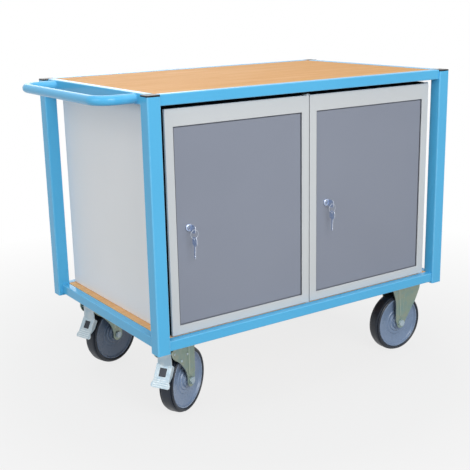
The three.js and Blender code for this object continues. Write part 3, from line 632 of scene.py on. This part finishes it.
# out from the frame, round the first bend, along the bar and back round the second
def handleMesh(node):
    x, y, z = span(node)
    r, bend, count = handle["radius"], handle["bend"], handle["bendSteps"]
    level, bar, start = (z[0] + z[1]) / 2, x[0] + r, x[1]
    low, high = y[0] + r, y[1] - r
    feet = [(start, low, level), (start, high, level)]
    stations = [(Vector(feet[0]), Vector((-1, 0, 0)))]
    for foot, inward, order in ((low, 1, range(count + 1)), (high, -1, range(count, -1, -1))):
        for k in order:
            a = k / count * pi / 2
            point = Vector((bar + bend * (1 - sin(a)), foot + inward * bend * (1 - cos(a)), level))
            stations.append((point, Vector((-inward * cos(a), sin(a), 0))))
    stations.append((Vector(feet[1]), Vector((1, 0, 0))))
    return bentTube(stations, r, r - handle["wall"], 40), feet


handleTube, handleFeet = handleMesh("push_handle")
redraw("push_handle", handleTube, "frameBlue")
beads = []
for foot in handleFeet:
    r, b = handle["radius"], handle["beadRadius"]
    profile = [(r, 0.3), (r, -handle["beadReach"], 0.4), (r + b * 0.7, -b, 1.2), (r + b, 0.3, 0.2)]
    beads.append(moved(lathe(profile, 3, 48), Matrix.Rotation(pi / 2, 4, "Y"), at(*foot)))
addPiece("handleWelds", together(*beads), "frameBlue", "trolley")
print("push handle made")


boardShape = dict(edge=1.2, corner=1.5)


def boardMesh(node):
    x, y, z = span(node)
    return slab(roundRect(x, y, boardShape["corner"], 3), z[0], z[1], boardShape["edge"], steps=3)


redraw("worktop", boardMesh("worktop"), "beech")
# the shelf board takes the brighter beech, painted light in the cabinet's shade
redraw("shelf_board", boardMesh("shelf_board"), "shelfBeechPaintedLight")
print("boards made")


cabinet = dict(sheet=1.5, fold=2.2, lip=18, lipEdge=0.4, insideEdge=0.7, tabDepth=19, tabWidth=16, tabHole=2.3)


def ringAt(x, z, out, y, radius):
    return [(px, y, pz) for px, pz in roundRect(grown(x, out), grown(z, out), radius)]


# the box is folded from sheet: outside, round the mouth, and back along the inside
def shellMesh(node):
    x, y, z = span(node)
    t, fold, lip, lipEdge, edge = (cabinet[key] for key in ("sheet", "fold", "lip", "lipEdge", "insideEdge"))
    front, back = y[0] + cabinet["tabDepth"], y[1]
    corners = [(fold + 6, back), (0, back, fold), (0, front, fold), (lip, front, lipEdge),
               (lip, front + t, lipEdge), (t, front + t, edge), (t, back - t, edge), (fold + 6, back - t)]
    return stack([ringAt(x, z, -inset, depth, max(fold - inset, 0.6)) for inset, depth in roundOff(corners, 4)])


# a flange behind the seam of the doors, and the sheet that runs back from its middle
def dividerMesh(node):
    x, y, z = span(node)
    half, centre, flange = cabinet["sheet"] / 2, (x[0] + x[1]) / 2, y[0] + cabinet["sheet"]
    corners = [(x[0], y[0], 0.4), (x[1], y[0], 0.4), (x[1], flange, 0.4),
               (centre + half, flange, 1), (centre + half, y[1], 0.4),
               (centre - half, y[1], 0.4), (centre - half, flange, 1), (x[0], flange, 0.4)]
    return slab(roundOff(corners, 3), z[0], z[1], 0.3)


# the tabs above and below each door that hold its hinge rod
def tabsMesh():
    x, y, z = span("cabinet_body")
    t, wide = cabinet["sheet"], cabinet["tabWidth"]
    tabs = []
    for end in ends:
        hinge = jointPoint(f"{end}_door_hinge")
        right = min(hinge.x + wide / 2, x[1])
        outline = roundRect((right - wide, right), (y[0], y[0] + cabinet["tabDepth"]), 2.5, 4)
        hole = circle(cabinet["tabHole"], hinge.x, hinge.y, 24)
        for low, high in ((z[0], z[0] + t), (z[1] - t, z[1])):
            tabs.append(slab(outline, low, high, 0.3, [hole]))
    return together(*tabs)


hingeRod = dict(radius=2, headRadius=3.5, headHigh=1.5)


def rodMesh(end):
    z, hinge = span(f"{end}_door_hinge_rod")[2], jointPoint(f"{end}_door_hinge")
    r, headRadius, head = hingeRod["radius"], hingeRod["headRadius"], z[1] - hingeRod["headHigh"]
    corners = [(0, z[0]), (r, z[0], 0.6), (r, head), (headRadius, head, 0.2), (headRadius, z[1], 0.9), (0, z[1])]
    return moved(lathe(corners, 3, 28), at(hinge.x, hinge.y))


paintedShadeSheet = dict(inset=2.2, lip=0.3, lipHigh=2.1, lipThick=1.3, deep=200, thick=1, sunk=0.05)


# a black sheet on the cabinet's top, turned down over its front edge, paints the shade in the gap under the worktop
def paintedShadeSheetMesh():
    x, y, z = span("cabinet_body")
    front, across, top = y[0] + cabinet["tabDepth"] - paintedShadeSheet["lip"], grown(x, -paintedShadeSheet["inset"]), z[1] + paintedShadeSheet["thick"]
    sheet = brick(across, (front, front + paintedShadeSheet["deep"]), (z[1] - paintedShadeSheet["sunk"], top), 0.3, 0.8)
    lip = brick(grown(across, -0.02), (front + 0.02, front + paintedShadeSheet["lipThick"]),
                (z[1] - paintedShadeSheet["lipHigh"], top - 0.4), 0.1, 0.2)
    return welded(sheet, lip)


# the shell takes the paler coat, painted light on its sides
redraw("cabinet_body", shellMesh("cabinet_body"), "shellGreyPaintedLight")
addPiece("topFelt", paintedShadeSheetMesh(), "paintedShadeBlack", "trolley")
addPiece("hingeTabs", tabsMesh(), "cabinetGrey", "trolley")
redraw("cabinet_divider", dividerMesh("cabinet_divider"), "cabinetGrey")
for end in ends:
    redraw(f"{end}_door_hinge_rod", rodMesh(end), "brightZinc")
print("cabinet made")


door = dict(sheet=1.5, fold=1.8, edgeFold=0.9, recess=3.7, lap=8, rodBore=2.3, boreDeep=3)


# the door's pan, from its back edge over the front and in round the panel
def doorMesh(end):
    x, y, z = span(f"{end}_door_frame")
    openX, openZ = (grown(span(f"{end}_door_panel")[i], -door["lap"]) for i in (0, 2))
    t, fold, inFold, front, back = door["sheet"], door["fold"], door["edgeFold"], y[0], y[1]
    turnedTo = front + door["recess"]

    def outer(inset, depth):
        return ringAt(x, z, -inset, depth, max(fold - inset, 0.5))

    def inner(growth, depth):
        return ringAt(openX, openZ, growth, depth, 0.8 + max(growth, 0))

    arc = [k / 4 * pi / 2 for k in range(5)]
    rings = [outer(t - 0.3, back), outer(0.3, back), outer(0, back - 0.3)]
    rings += [outer(fold * (1 - cos(a)), front + fold * (1 - sin(a))) for a in arc]
    rings += [inner(inFold * (1 - sin(a)), front + inFold * (1 - cos(a))) for a in arc]
    rings += [inner(0, turnedTo - 0.2), inner(0.2, turnedTo), inner(t - 0.2, turnedTo), inner(t, turnedTo - 0.2)]
    rings += [inner(t, front + t), outer(t, front + t), outer(t, back - 0.3)]
    hinge, deep = jointPoint(f"{end}_door_hinge"), door["boreDeep"]
    bores = [moved(rod(door["rodBore"], low, high, 0, 24), at(hinge.x, hinge.y))
             for low, high in ((z[0] - 1, z[0] + deep), (z[1] - deep, z[1] + 1))]
    return cutBy(stack(rings, closed=True), *bores)


panel = dict(groove=3.4, step=6, sheet=1.5, edge=0.5, barrelHole=8.8)


# a raised face welded to the sheet that lies behind the door's opening
def panelMesh(end):
    x, y, z = span(f"{end}_door_panel")
    axis = jointPoint(f"{end}_lock_turn")
    inset, step = -door["lap"] - panel["groove"], y[0] + panel["step"]
    faceHole, sheetHole = (circle(panel["barrelHole"] + extra, axis.x, axis.z, 36) for extra in (0, 0.4))
    face = slab(roundRect(grown(x, inset), grown(z, inset), 1.5, 4), y[0], step + 0.4, panel["edge"], [faceHole])
    sheet = slab(roundRect(x, z, 1, 3), step, step + panel["sheet"], 0.2, [sheetHole])
    return moved(welded(sheet, face), runY)


doorShadeStrip = dict(start=7.5, stop=0.6, thick=0.5, sunk=0.2)


# a thin black strip round the door's sides, behind its front fold, paints the shade in the gaps round the door
def doorShadeStripMesh(end):
    x, y, z = span(f"{end}_door_frame")
    thick, sunk, start, stop = doorShadeStrip["thick"], doorShadeStrip["sunk"], y[0] + doorShadeStrip["start"], y[1] - doorShadeStrip["stop"]
    profile = [(-sunk, start), (thick - 0.15, start), (thick, start + 0.2),
               (thick, stop - 0.2), (thick - 0.15, stop), (-sunk, stop)]
    return stack([ringAt(x, z, out, depth, door["fold"] + out) for out, depth in profile], closed=True)


for end in ends:
    addPiece(f"{end}DoorShadeStrip", doorShadeStripMesh(end), "paintedShadeBlack", f"{end}_door")
    redraw(f"{end}_door_frame", doorMesh(end), "cabinetGrey")
    redraw(f"{end}_door_panel", panelMesh(end), "panelGrey")
print("doors made")


lock = dict(bezel=10.5, bezelDepth=5.5, barrel=8.5, bore=5.6, plug=5.3, keySlot=(1.1, 4.0), slotPast=15,
            camWide=16, camLong=57, camThick=2, screwAcross=10, screwHigh=3)


# a lock is drawn from its face, with depth counted back into the door
def bezelMesh(end):
    depth = span(f"{end}_lock_housing")[1]
    b, d, inner, barrel, back = lock["bezel"], lock["bezelDepth"], lock["bore"], lock["barrel"], depth[1] - depth[0]
    corners = [(inner, 0.9, 0.3), (inner + 0.9, 0, 0.4), (b - 2.4, 0, 0.5), (b - 1.9, 0.6, 0.3), (b, 1.4, 0.9),
               (b, d, 0.3), (barrel, d), (barrel, back, 0.4), (inner, back, 0.3)]
    return lathe(corners, 3, 48)


# a hexagon with its corners turned off, as on any bolt head
def hexHead(across, low, high, chamferTop=True):
    corner = across / sqrt(3)
    prism = slab([(corner * cos(radians(60 * k)), corner * sin(radians(60 * k))) for k in range(6)], low, high)
    rise, wide, flat = (corner - across / 2) * 0.7, corner + 0.2, across / 2 - 0.2
    if chamferTop:
        cone = [(0, low - 1), (wide, low - 1), (wide, high - rise), (flat, high + 0.05), (0, high + 0.05)]
    else:
        cone = [(0, low - 0.05), (flat, low - 0.05), (wide, low + rise), (wide, high + 1), (0, high + 1)]
    return keptWithin(prism, turned(cone, 48))


# the plug is turned with its length along Z, so the lock's height runs along +Y here
def plugMesh(end):
    depth = span(f"{end}_lock_plug_and_cam")[1]
    camBack = depth[1] - depth[0] - lock["screwHigh"]
    camFront = camBack - lock["camThick"]
    w, long, (keyX, keyZ) = lock["camWide"] / 2, lock["camLong"], lock["keySlot"]
    plug = rod(lock["plug"], 0, camFront + 0.5, 0.4, 40)
    cam = slab(roundOff([(-w, -w, 7), (w, -w, 7), (w, long, 4), (-w, long, 4)], 5), camFront, camBack, 0.4)
    screw = hexHead(lock["screwAcross"], camBack - 0.5, camBack + lock["screwHigh"])
    slot = brick((-keyX, keyX), (-keyZ, keyZ), (-1, lock["bezelDepth"] + lock["slotPast"]), 0, 0.3)
    return cutBy(welded(plug, cam, screw), slot)


# teeth are cut at shares of the blade's length, each with its share of the full cut
keyShape = dict(thick=1.6, blade=7.4, neck=4, bowLong=26, bowWide=23, hole=5.2, holeMargin=6, inLock=21, spare=33,
                fullCut=2.4, teeth=[(0.30, 0.25), (0.38, 0.6), (0.46, 0.3), (0.55, 0.75), (0.64, 0.4), (0.72, 0.8),
                                    (0.8, 0.35), (0.88, 0.7)])


# a key lies flat with its blade along +X, its shoulder at zero and its bow behind
def keyMesh(blade):
    b, w, t, neck = keyShape["blade"] / 2, keyShape["bowWide"] / 2, keyShape["thick"] / 2, keyShape["neck"]
    bowFoot, bowHead = -neck, -neck - keyShape["bowLong"]
    bitting = [(share * blade, -b + depth * keyShape["fullCut"]) for share, depth in keyShape["teeth"]]
    corners = [(0.12 * blade, -b, 0.5), *bitting, (blade - 0.6, -0.6, 0.5), (blade, 0, 0.5), (blade - b, b, 0.8),
               (bowFoot, b, 1.6), (bowFoot - 3.5, w, 5), (bowHead, w, 8.5),
               (bowHead, -w, 8.5), (bowFoot - 3.5, -w, 5), (bowFoot, -b, 1.6)]
    hole = circle(keyShape["hole"] / 2, bowHead + keyShape["holeMargin"], 0, 28)
    plate = slab(roundOff(corners, 4), -t, t, 0.25, [hole])
    groove = brick((-neck, blade + 2), (-0.6, 0.9), (t - 0.45, t + 1), 0, 0.2)
    return cutBy(plate, groove)


# two turns of wire side by side, so a fine notch runs round the ring inside and out
def keyRingMesh(node):
    x, y, z = span(node)
    outer, wire = (x[1] - x[0]) / 2, y[1] - y[0]
    inner, half, notch = outer - wire, wire / 2, 0.22
    corners = [(inner, -half, 0.45), (inner, -0.08), (inner + notch, 0), (inner, 0.08), (inner, half, 0.45),
               (outer, half, 0.45), (outer, 0.08), (outer - notch, 0), (outer, -0.08), (outer, -half, 0.45)]
    centre = [(low + high) / 2 for low, high in (x, y, z)]
    return moved(lathe(corners, 3, 64), Matrix.Rotation(pi / 2, 4, "X"), at(*centre))


for end in ends:
    axis = jointPoint(f"{end}_lock_turn")
    face, plugFace = (span(f"{end}_{part}")[1][0] for part in ("lock_housing", "lock_plug_and_cam"))
    redraw(f"{end}_lock_housing", bezelMesh(end), "chrome", at(axis.x, face, axis.z) @ runY)
    redraw(f"{end}_lock_plug_and_cam", plugMesh(end), "steel", at(axis.x, plugFace, axis.z) @ runY)
    # the key's flat turns into the Y and Z plane, its blade toward +Y
    shoulder = span(f"{end}_key")[1][1] - keyShape["inLock"]
    redraw(f"{end}_key", keyMesh(keyShape["inLock"]), "chrome", at(axis.x, shoulder, axis.z) @ runX)
    x, y, z = span(f"{end}_spare_key")
    hanging = Matrix(((0, 0, 1, 0), (0, 1, 0, 0), (-1, 0, 0, 0), (0, 0, 0, 1)))
    sparePlace = at(axis.x, (y[0] + y[1]) / 2, z[0] + keyShape["spare"]) @ hanging
    redraw(f"{end}_spare_key", keyMesh(keyShape["spare"]), "chrome", sparePlace)
    redraw(f"{end}_key_ring", keyRingMesh(f"{end}_key_ring"), "steel")
print("locks and keys made")


wheel = dict(radius=100, tyreDepth=12.5, tyreHalf=23, hubHalf=27, bore=6.4, rimHigh=20.9, steps=112)


# half of a wheel's profile is drawn and mirrored to the other side
def bothSides(half):
    return lathe(half + [(r, -h, e) for r, h, e in reversed(half)], 3, wheel["steps"])


# the wheel's dished disc steps up to the hub in rings and out to a thin lip at the rim
def wheelMesh():
    rim, hub, lip = wheel["radius"] - wheel["tyreDepth"] - 0.3, wheel["hubHalf"], wheel["rimHigh"]
    return bothSides([
        (wheel["bore"], hub, 0.4), (14.5, hub, 0.8), (15.8, 23, 0.5), (22, 22.6, 1.4), (24.5, 15.2, 1.6),
        (31, 16.4, 1.6), (34, 12.2, 1.6), (43, 13.0, 1.6), (46, 10.6, 2), (56, 10.8, 4), (66, 12, 5),
        (78.5, 14.4, 2.5), (81.6, 18.0, 0.8), (83.2, lip, 0.7), (rim - 1.4, lip, 0.7), (rim, 19.0, 0.3)])


# a rounded tread with a groove near each shoulder
def tyreMesh():
    outer, inner, half = wheel["radius"], wheel["radius"] - wheel["tyreDepth"], wheel["tyreHalf"]
    return bothSides([
        (inner, half - 3, 0.3), (inner + 2.2, half - 0.6, 0.8), (inner + 4, half, 1), (outer - 6.5, half, 3),
        (outer - 3.4, half - 2.6, 0.7), (outer - 6.4, half - 4.2, 0.6), (outer - 6.2, half - 5.6, 0.6),
        (outer - 1.8, half - 7.2, 0.7), (outer - 0.5, half - 10, 3), (outer, half - 15, 8)])


axle = dict(radius=6, across=20, nutHigh=7.5, inner=33.3, washer=11.4, washerThick=1.2, endPast=1.8, headDrop=1.2)


# bolt head at one end, nut and the bolt's own end at the other, each on a washer
def axleMesh():
    inner, outer, past = axle["inner"], axle["inner"] + axle["nutHigh"], axle["endPast"]
    shank = rod(axle["radius"], axle["headDrop"] + past - outer, outer, 0.8, 40)
    parts = []
    for sign in (-1, 1):
        washer = rod(axle["washer"], inner, inner + axle["washerThick"], 0.4, 40)
        nut = hexHead(axle["across"], inner + axle["washerThick"] - 0.4, outer - past)
        parts += [moved(item, Matrix.Scale(sign, 4, (0, 0, 1))) for item in (washer, nut)]
    return welded(shank, *parts)


# how far the axle lies turned from Y at rest
def axleTurn(corner):
    along = joints[f"{corner}_wheel_roll"]["axis"]
    return atan2(-along[0], along[1])


for corner in cornerNames:
    place = at(*jointPoint(f"{corner}_wheel_roll"), axleTurn(corner)) @ runY
    redraw(f"{corner}_wheel", wheelMesh(), "wheelGrey", place, sharp=30)
    redraw(f"{corner}_tyre", tyreMesh(), "rubber", place, sharp=40)
    redraw(f"{corner}_axle", axleMesh(), "brightZinc", place)
print("wheels made")


plate = dict(long=110, wide=135, thick=5, round=10, edge=0.8, under=248.7,
             boltMargin=15, boltAcross=16, boltHigh=4.6, washer=10.5, washerThick=1.4)


def boltedPlate(length, width, shift):
    under, margin = plate["under"], plate["boltMargin"]
    outline = roundRect((shift - length / 2, shift + length / 2), (-width / 2, width / 2), plate["round"], 6)
    base = slab(outline, under, under + plate["thick"], plate["edge"])
    seat = under - plate["washerThick"]
    bolts = []
    for endSign in (-1, 1):
        for sideSign in (-1, 1):
            place = at(shift + endSign * (length / 2 - margin), sideSign * (width / 2 - margin))
            washer = rod(plate["washer"], seat, under + 0.5, 0.3, 32)
            head = hexHead(plate["boltAcross"], seat - plate["boltHigh"], seat + 0.4, False)
            bolts += [moved(washer, place), moved(head, place)]
    return welded(base, *bolts)


race = dict(top=37.4, wide=38, neck=36.5, flare=40, pin=8, pinHead=15, pinTip=11, pinHigh=9.3)


# the plate with its ball race below and the head of the kingpin under the fork's crown
def swivelPlateMesh():
    top, under, crown = fork["top"], plate["under"], fork["top"] - fork["crown"]
    pin, pinHead, pinTip, tip = race["pin"], race["pinHead"], race["pinTip"], crown - race["pinHigh"]
    ring = lathe([(0, top + 0.3), (race["top"], top + 0.3, 1.5), (race["wide"], top + 5, 2),
                  (race["neck"], under - 3, 2.5), (race["flare"], under + 0.6), (0, under + 0.6)], 4, 64)
    kingpin = lathe([(0, tip), (pinTip, tip, 3), (pinHead, crown - 5, 1.5), (pinHead, crown - 0.3, 0.6),
                     (pin, crown - 0.3), (pin, top + 2), (0, top + 2)], 4, 48)
    return welded(boltedPlate(plate["long"], plate["wide"], 0), ring, kingpin)


# the half circle of a leg's foot, below the axle
def footArc(x, z, radius, steps):
    return [(x - radius * cos(a), z - radius * sin(a)) for a in (k / steps * pi for k in range(steps + 1))]


# a plate on one side of the middle, between two distances from it
def sidePlate(outline, sign, near, far, edge, holes=()):
    return moved(slab(outline, *sorted((sign * near, sign * far)), edge, holes), runY)


# a raised crease pressed out of a leg
def crease(outline, inner, outer, slope, sign):
    levels = [(0, inner), (0, inner + 0.8), (slope * 0.25, inner + 1.6), (slope * 0.8, outer - 0.4),
              (slope + 0.8, outer)]
    outline = turnedLeft(outline)
    return stack([[(x, sign * height, z) for x, z in shrunk(outline, inset)] for inset, height in levels])


fork = dict(inside=29, outside=33, top=232.3, crown=4, fold=7, foot=20, lead=-48, heel=74, trail=54, softEdge=0.7,
            cup=41.9, cupInside=38.4, cupHigh=9, pin=8.4, rib=3, ribToe=38, ribFoot=121,
            pivotX=-36, pivotDrop=18, pivotHole=4.4, axleHole=6.3,
            sweep=[(0.02, 0.1), (-0.1, 0.25), (-0.45, 0.4), (-0.72, 0.57), (-0.9, 0.72), (-1, 0.9)])


# the fork is cut and folded from one sheet, so its section along X is trimmed to the leg's outline
def swivelForkMesh():
    out, inside, top, fold, lead, heel, trail, foot = (
        fork[key] for key in ("outside", "inside", "top", "fold", "lead", "heel", "trail", "foot"))
    axleHigh, crown = wheel["radius"], top - fork["crown"]
    low = axleHigh - foot - 1
    section = [(-out, low), (-out, top, fold), (out, top, fold), (out, low),
               (inside, low), (inside, crown, fold - 3), (-inside, crown, fold - 3), (-inside, low)]
    channel = moved(slab(roundOff(section, 5), lead - 1, heel + 1), runX)
    drop, reach = top - axleHigh, trail - foot - lead
    swept = smoothLine([(lead - a * reach, top - d * drop) for a, d in fork["sweep"]])
    outline = [(lead + 8, top + 1), (lead, top - 6), *swept, *footArc(trail, axleHigh, foot, 14), (heel, top + 1)]
    holes = [circle(fork["axleHole"], trail, axleHigh, 32),
             circle(fork["pivotHole"], fork["pivotX"], top - fork["pivotDrop"], 24)]
    body = keptWithin(channel, moved(slab(outline, -out - 1, out + 1, 0, holes), runY))
    body = softEdges(body, fork["softEdge"], 2, 50)
    cup, cupInside, rim = fork["cup"], fork["cupInside"], top + fork["cupHigh"]
    cupRing = lathe([(20, crown + 0.2), (cup - 3, crown + 0.2, 1), (cup, top - 1, 2), (cup, rim, 1),
                     (cupInside, rim, 0.8), (cupInside, top + 0.05, 1), (20, top + 0.05)], 4, 72)
    bore = rod(fork["pin"], top - 8, top + 4, 0, 36)
    toe, ribFoot, ribTop = fork["ribToe"], fork["ribFoot"], top - 5
    rib = roundOff([(toe, ribTop, 4), (toe, ribFoot, 8), (heel, ribFoot, 4), (heel, ribTop, 4)], 5)
    ribs = [crease(rib, out - 1, out + fork["rib"], 3, sign) for sign in (-1, 1)]
    return cutBy(welded(body, cupRing, *ribs), bore)


# each rivet's place along and up the fork, and its radius
rivetPlaces = [(0, 181, 4.5), (33, 191, 4)]


def rivetsMesh():
    items = []
    for x, z, radius in rivetPlaces:
        for sign in (-1, 1):
            dome = lathe([(0, -0.3), (radius, -0.3), (radius, 0.8, 0.4), (radius * 0.6, 2.2, 1.5), (0, 2.4)], 4, 28)
            items.append(moved(dome, Matrix.Rotation(-sign * pi / 2, 4, "X"), at(x, sign * fork["outside"], z)))
    return together(*items)


pedal = dict(sheet=4, half=23, upper=44, shoe=18, setback=4, pin=4, eye=6.2, turn=29.5,
             long=70, wide=52, flare=62, flange=12, flangeSheet=2.5, rib=0.8, ribs=(0.66, 0.75, 0.84, 0.93),
             windowWide=23, windowLong=25, windowStart=12, padFront=1.2, padBack=1)


def pedalWindow(by=0.0):
    start, half = pedal["windowStart"], pedal["windowWide"] / 2
    return roundRect(grown((-half, half), by), grown((-start - pedal["windowLong"], -start), by), 1.5, 4)


# the upright hangs on its pin, and the tread below the bend has a window with a pad in it
def pedalMeshes():
    p, sheet, wide, out = pedal, pedal["sheet"], pedal["half"], fork["outside"]
    pivotX, pivotZ = fork["pivotX"], fork["top"] - fork["pivotDrop"]
    back = pivotX - p["setback"] + sheet / 2
    bend = pivotZ + 8 - p["upper"]
    uprightOutline = roundRect((-wide, wide), (bend - p["shoe"], bend + p["upper"]), 4, 5)
    upright = moved(slab(uprightOutline, back - sheet, back, 0.8), runX)
    pin, eye = (moved(rod(radius, -end, end, edge, steps), runY, at(pivotX, 0, pivotZ))
                for radius, end, edge, steps in ((p["pin"], out, 0.6, 28), (p["eye"], wide - 0.6, 0.8, 32)))
    w, f, long = p["wide"] / 2, p["flare"] / 2, p["long"]
    half = [(w, 0, 2), (w, -0.72 * long, 6), (f, -0.84 * long, 4), (f, -0.95 * long, 3), (f - 4, -long, 3)]
    outline = roundOff(half[:1] + [(-x, z, r) for x, z, r in half] + half[:0:-1], 4)
    face = moved(slab(outline, -sheet, 0, 0.9, [pedalWindow()]), runX)
    pad = moved(slab(pedalWindow(0.4), p["padFront"] - sheet, -p["padBack"], 0.2), runX)
    # ribs cross the foot to give grip, and a flange stiffens each side
    parts = []
    for level in p["ribs"]:
        reach = (w if level < 0.72 else f) - 6
        bar = roundRect((-reach, reach), (-level * long - 1.5, -level * long + 1.5), 1.4, 4)
        parts.append(moved(slab(bar, -sheet - p["rib"], -sheet + 0.6, 0.7), runX))
    side = roundOff([(-1, -0.7 * long, 0.5), (4, -0.7 * long, 3), (p["flange"], -0.45 * long, 8),
                     (p["flange"], -2, 5), (-1, -2, 0.5)], 4)
    parts += [sidePlate(side, sign, w - p["flangeSheet"], w - 0.4, 0.5) for sign in (-1, 1)]
    # the tread is drawn flat, its length along -Z and its face toward -X, then tilted about the bend
    tilted = Matrix.Rotation(radians(p["turn"]), 4, "Y"), at(back, 0, bend + sheet / 2)
    return welded(upright, pin, eye, moved(welded(face, *parts), *tilted)), moved(pad, *tilted)


# each leg's edges as shares of its reach and its height; the front edge ends in the plate
fixed = dict(long=138, wide=110, back=48, foot=18, rib=3,
             front=[(0.32, 0.12), (0.5, 0.28), (0.7, 0.45), (0.84, 0.62), (0.94, 0.77)],
             rear=[(-0.78, 0.8), (-0.52, 0.5), (-0.49, 0.1)])


# legs pressed from the plate, swept forward to the axle, with a tapering crease
def fixedForkMesh():
    r, top, foot, back = wheel["radius"], plate["under"] + 2.5, fixed["foot"], fixed["back"]
    height, ahead = plate["under"] - r, fixed["long"] - back
    front = smoothLine([(foot, r + 2), *[(a * ahead, r + h * height) for a, h in fixed["front"]],
                        (0.98 * ahead, top)])
    rear = smoothLine([(-0.95 * back, top), *[(a * back, r + h * height) for a, h in fixed["rear"]],
                       (-foot, r + 2)])
    outline, axleHole = [*footArc(0, r, foot, 16), *front, *rear], circle(fork["axleHole"], 0, r, 32)
    inside, out = fork["inside"], fork["outside"]
    rib = roundOff([(-foot / 3, r + 21, 5), (foot / 3, r + 21, 5), (foot, r + height - 4, 5),
                    (-foot, r + height - 4, 5)], 4)
    parts = []
    for sign in (-1, 1):
        parts.append(sidePlate(outline, sign, inside, out, 0.8, [axleHole]))
        parts.append(crease(rib, out - 1, out + fixed["rib"], 3, sign))
    return welded(boltedPlate(fixed["long"], fixed["wide"], fixed["long"] / 2 - back), *parts)


for side in sides:
    name = f"{side}_left"
    kingpin = jointPoint(f"{name}_swivel_turn")
    still, swung = at(kingpin.x, kingpin.y), at(kingpin.x, kingpin.y, 0, axleTurn(name))
    redraw(f"{name}_caster_plate", swivelPlateMesh(), "forkZinc", still)
    redraw(f"{name}_fork", swivelForkMesh(), "forkZinc", swung)
    addPiece(f"{side}LeftForkRivets", rivetsMesh(), "brightZinc", f"{name}_swivel", swung)
    pedalMesh, padMesh = pedalMeshes()
    redraw(f"{name}_brake_pedal", pedalMesh, "brightZinc", swung)
    addPiece(f"{side}LeftPedalPad", padMesh, "rubber", f"{name}_pedal", swung)
for side in sides:
    name = f"{side}_right"
    axlePoint = jointPoint(f"{name}_wheel_roll")
    redraw(f"{name}_fixed_fork", fixedForkMesh(), "forkZinc", at(axlePoint.x, axlePoint.y))
print("casters made")


# distances in metres: the floor goes white between clearFrom and clearTo
studio = dict(floorHalf=14, floorDrop=0.0008, floorShade=0.38, shadowKeep=0.2, clearFrom=0.7, clearTo=2.0, ambient=0.42)
lamps = {
    "keyLamp": dict(place=(-0.6, -4.0, 2.6), aim=(0, 0, 0.65), size=2.8, watts=122),
    "fillLamp": dict(place=(-4.2, -0.8, 2.2), aim=(0, 0, 0.5), size=3.0, watts=47),
    "topLamp": dict(place=(0, 0.4, 4.2), aim=(0, 0, 0), size=3.4, watts=44),
    "backLamp": dict(place=(1.5, 4.0, 2.6), aim=(0, 0, 0.5), size=3.0, watts=30),
}


# 1 for the camera's own rays and for reflections, 0 for scattered light
def seenDirectly(tree):
    path = addNode(tree, "ShaderNodeLightPath").outputs
    seen = path["Is Camera Ray"]
    for ray in ("Is Glossy Ray", "Is Transmission Ray"):
        seen = addNode(tree, "ShaderNodeMath", {0: seen, 1: path[ray]}, operation="MAXIMUM").outputs[0]
    return seen


def makeFloor():
    bm = bmesh.new()
    bmesh.ops.create_grid(bm, x_segments=8, y_segments=8, size=studio["floorHalf"])
    mesh = toMesh(bm, "floor")
    floor = addObject("floor", mesh)
    floor.location = (0, 0, -studio["floorDrop"])
    material, tree, place = newMaterial("paleFloor")
    tree.nodes.remove(tree.nodes["Principled BSDF"])
    away = addNode(tree, "ShaderNodeVectorMath", {0: place}, operation="LENGTH").outputs["Value"]
    far = ranged(away, studio["clearFrom"], studio["clearTo"])
    dull = addNode(tree, "ShaderNodeBsdfDiffuse", {"Color": (*[studio["floorShade"]] * 3, 1)}).outputs[0]
    white = addNode(tree, "ShaderNodeEmission", {"Color": (1, 1, 1, 1), "Strength": 1.0}).outputs[0]
    share = ranged(far, 0, 1, 1 - studio["shadowKeep"], 1)
    whiteShare = times(share, seenDirectly(tree))
    blend = addNode(tree, "ShaderNodeMixShader", {0: whiteShare, 1: dull, 2: white}).outputs[0]
    tree.links.new(blend, tree.nodes["Material Output"].inputs["Surface"])
    mesh.materials.append(material)


def makeWorld():
    world = bpy.data.worlds.new("studio")
    bpy.context.scene.world = world
    world.use_nodes = True
    tree = world.node_tree
    background = tree.nodes["Background"]
    background.inputs["Color"].default_value = (1, 1, 1, 1)
    tree.links.new(ranged(seenDirectly(tree), 0, 1, studio["ambient"], 1), background.inputs["Strength"])


def makeLamps():
    for name, look in lamps.items():
        data = bpy.data.lights.new(name, "AREA")
        data.shape, data.size, data.energy = "DISK", look["size"], look["watts"]
        lamp = addObject(name, data)
        lamp.location = look["place"]
        lamp.rotation_euler = (Vector(look["aim"]) - Vector(look["place"])).to_track_quat("-Z", "Y").to_euler()


# the photographed view: angles in radians, the lens in millimetres on a 36 mm sensor
view = dict(place=(-1.60591, -2.35959, 1.2029), turn=0.5968, tilt=0.261, lean=-0.0204, lens=68.932, sensor=36)


def makeCamera():
    turn, tilt, lean = view["turn"], view["tilt"], view["lean"]
    ahead = Vector((sin(turn) * cos(tilt), cos(turn) * cos(tilt), -sin(tilt)))
    right = Vector((cos(turn), -sin(turn), 0))
    up = right.cross(ahead)
    across, above = right * cos(lean) + up * sin(lean), up * cos(lean) - right * sin(lean)
    data = bpy.data.cameras.new("camera")
    data.sensor_width, data.lens = view["sensor"], view["lens"]
    data.clip_start, data.clip_end = 0.05, 60
    camera = addObject("camera", data)
    rows = zip(across, above, -ahead, view["place"])
    camera.matrix_world = Matrix([*[tuple(row) for row in rows], (0, 0, 0, 1)])
    bpy.context.scene.camera = camera


makeFloor()
makeWorld()
makeLamps()
makeCamera()
bpy.context.scene.view_settings.view_transform = "Standard"
print("floor, light and camera set")
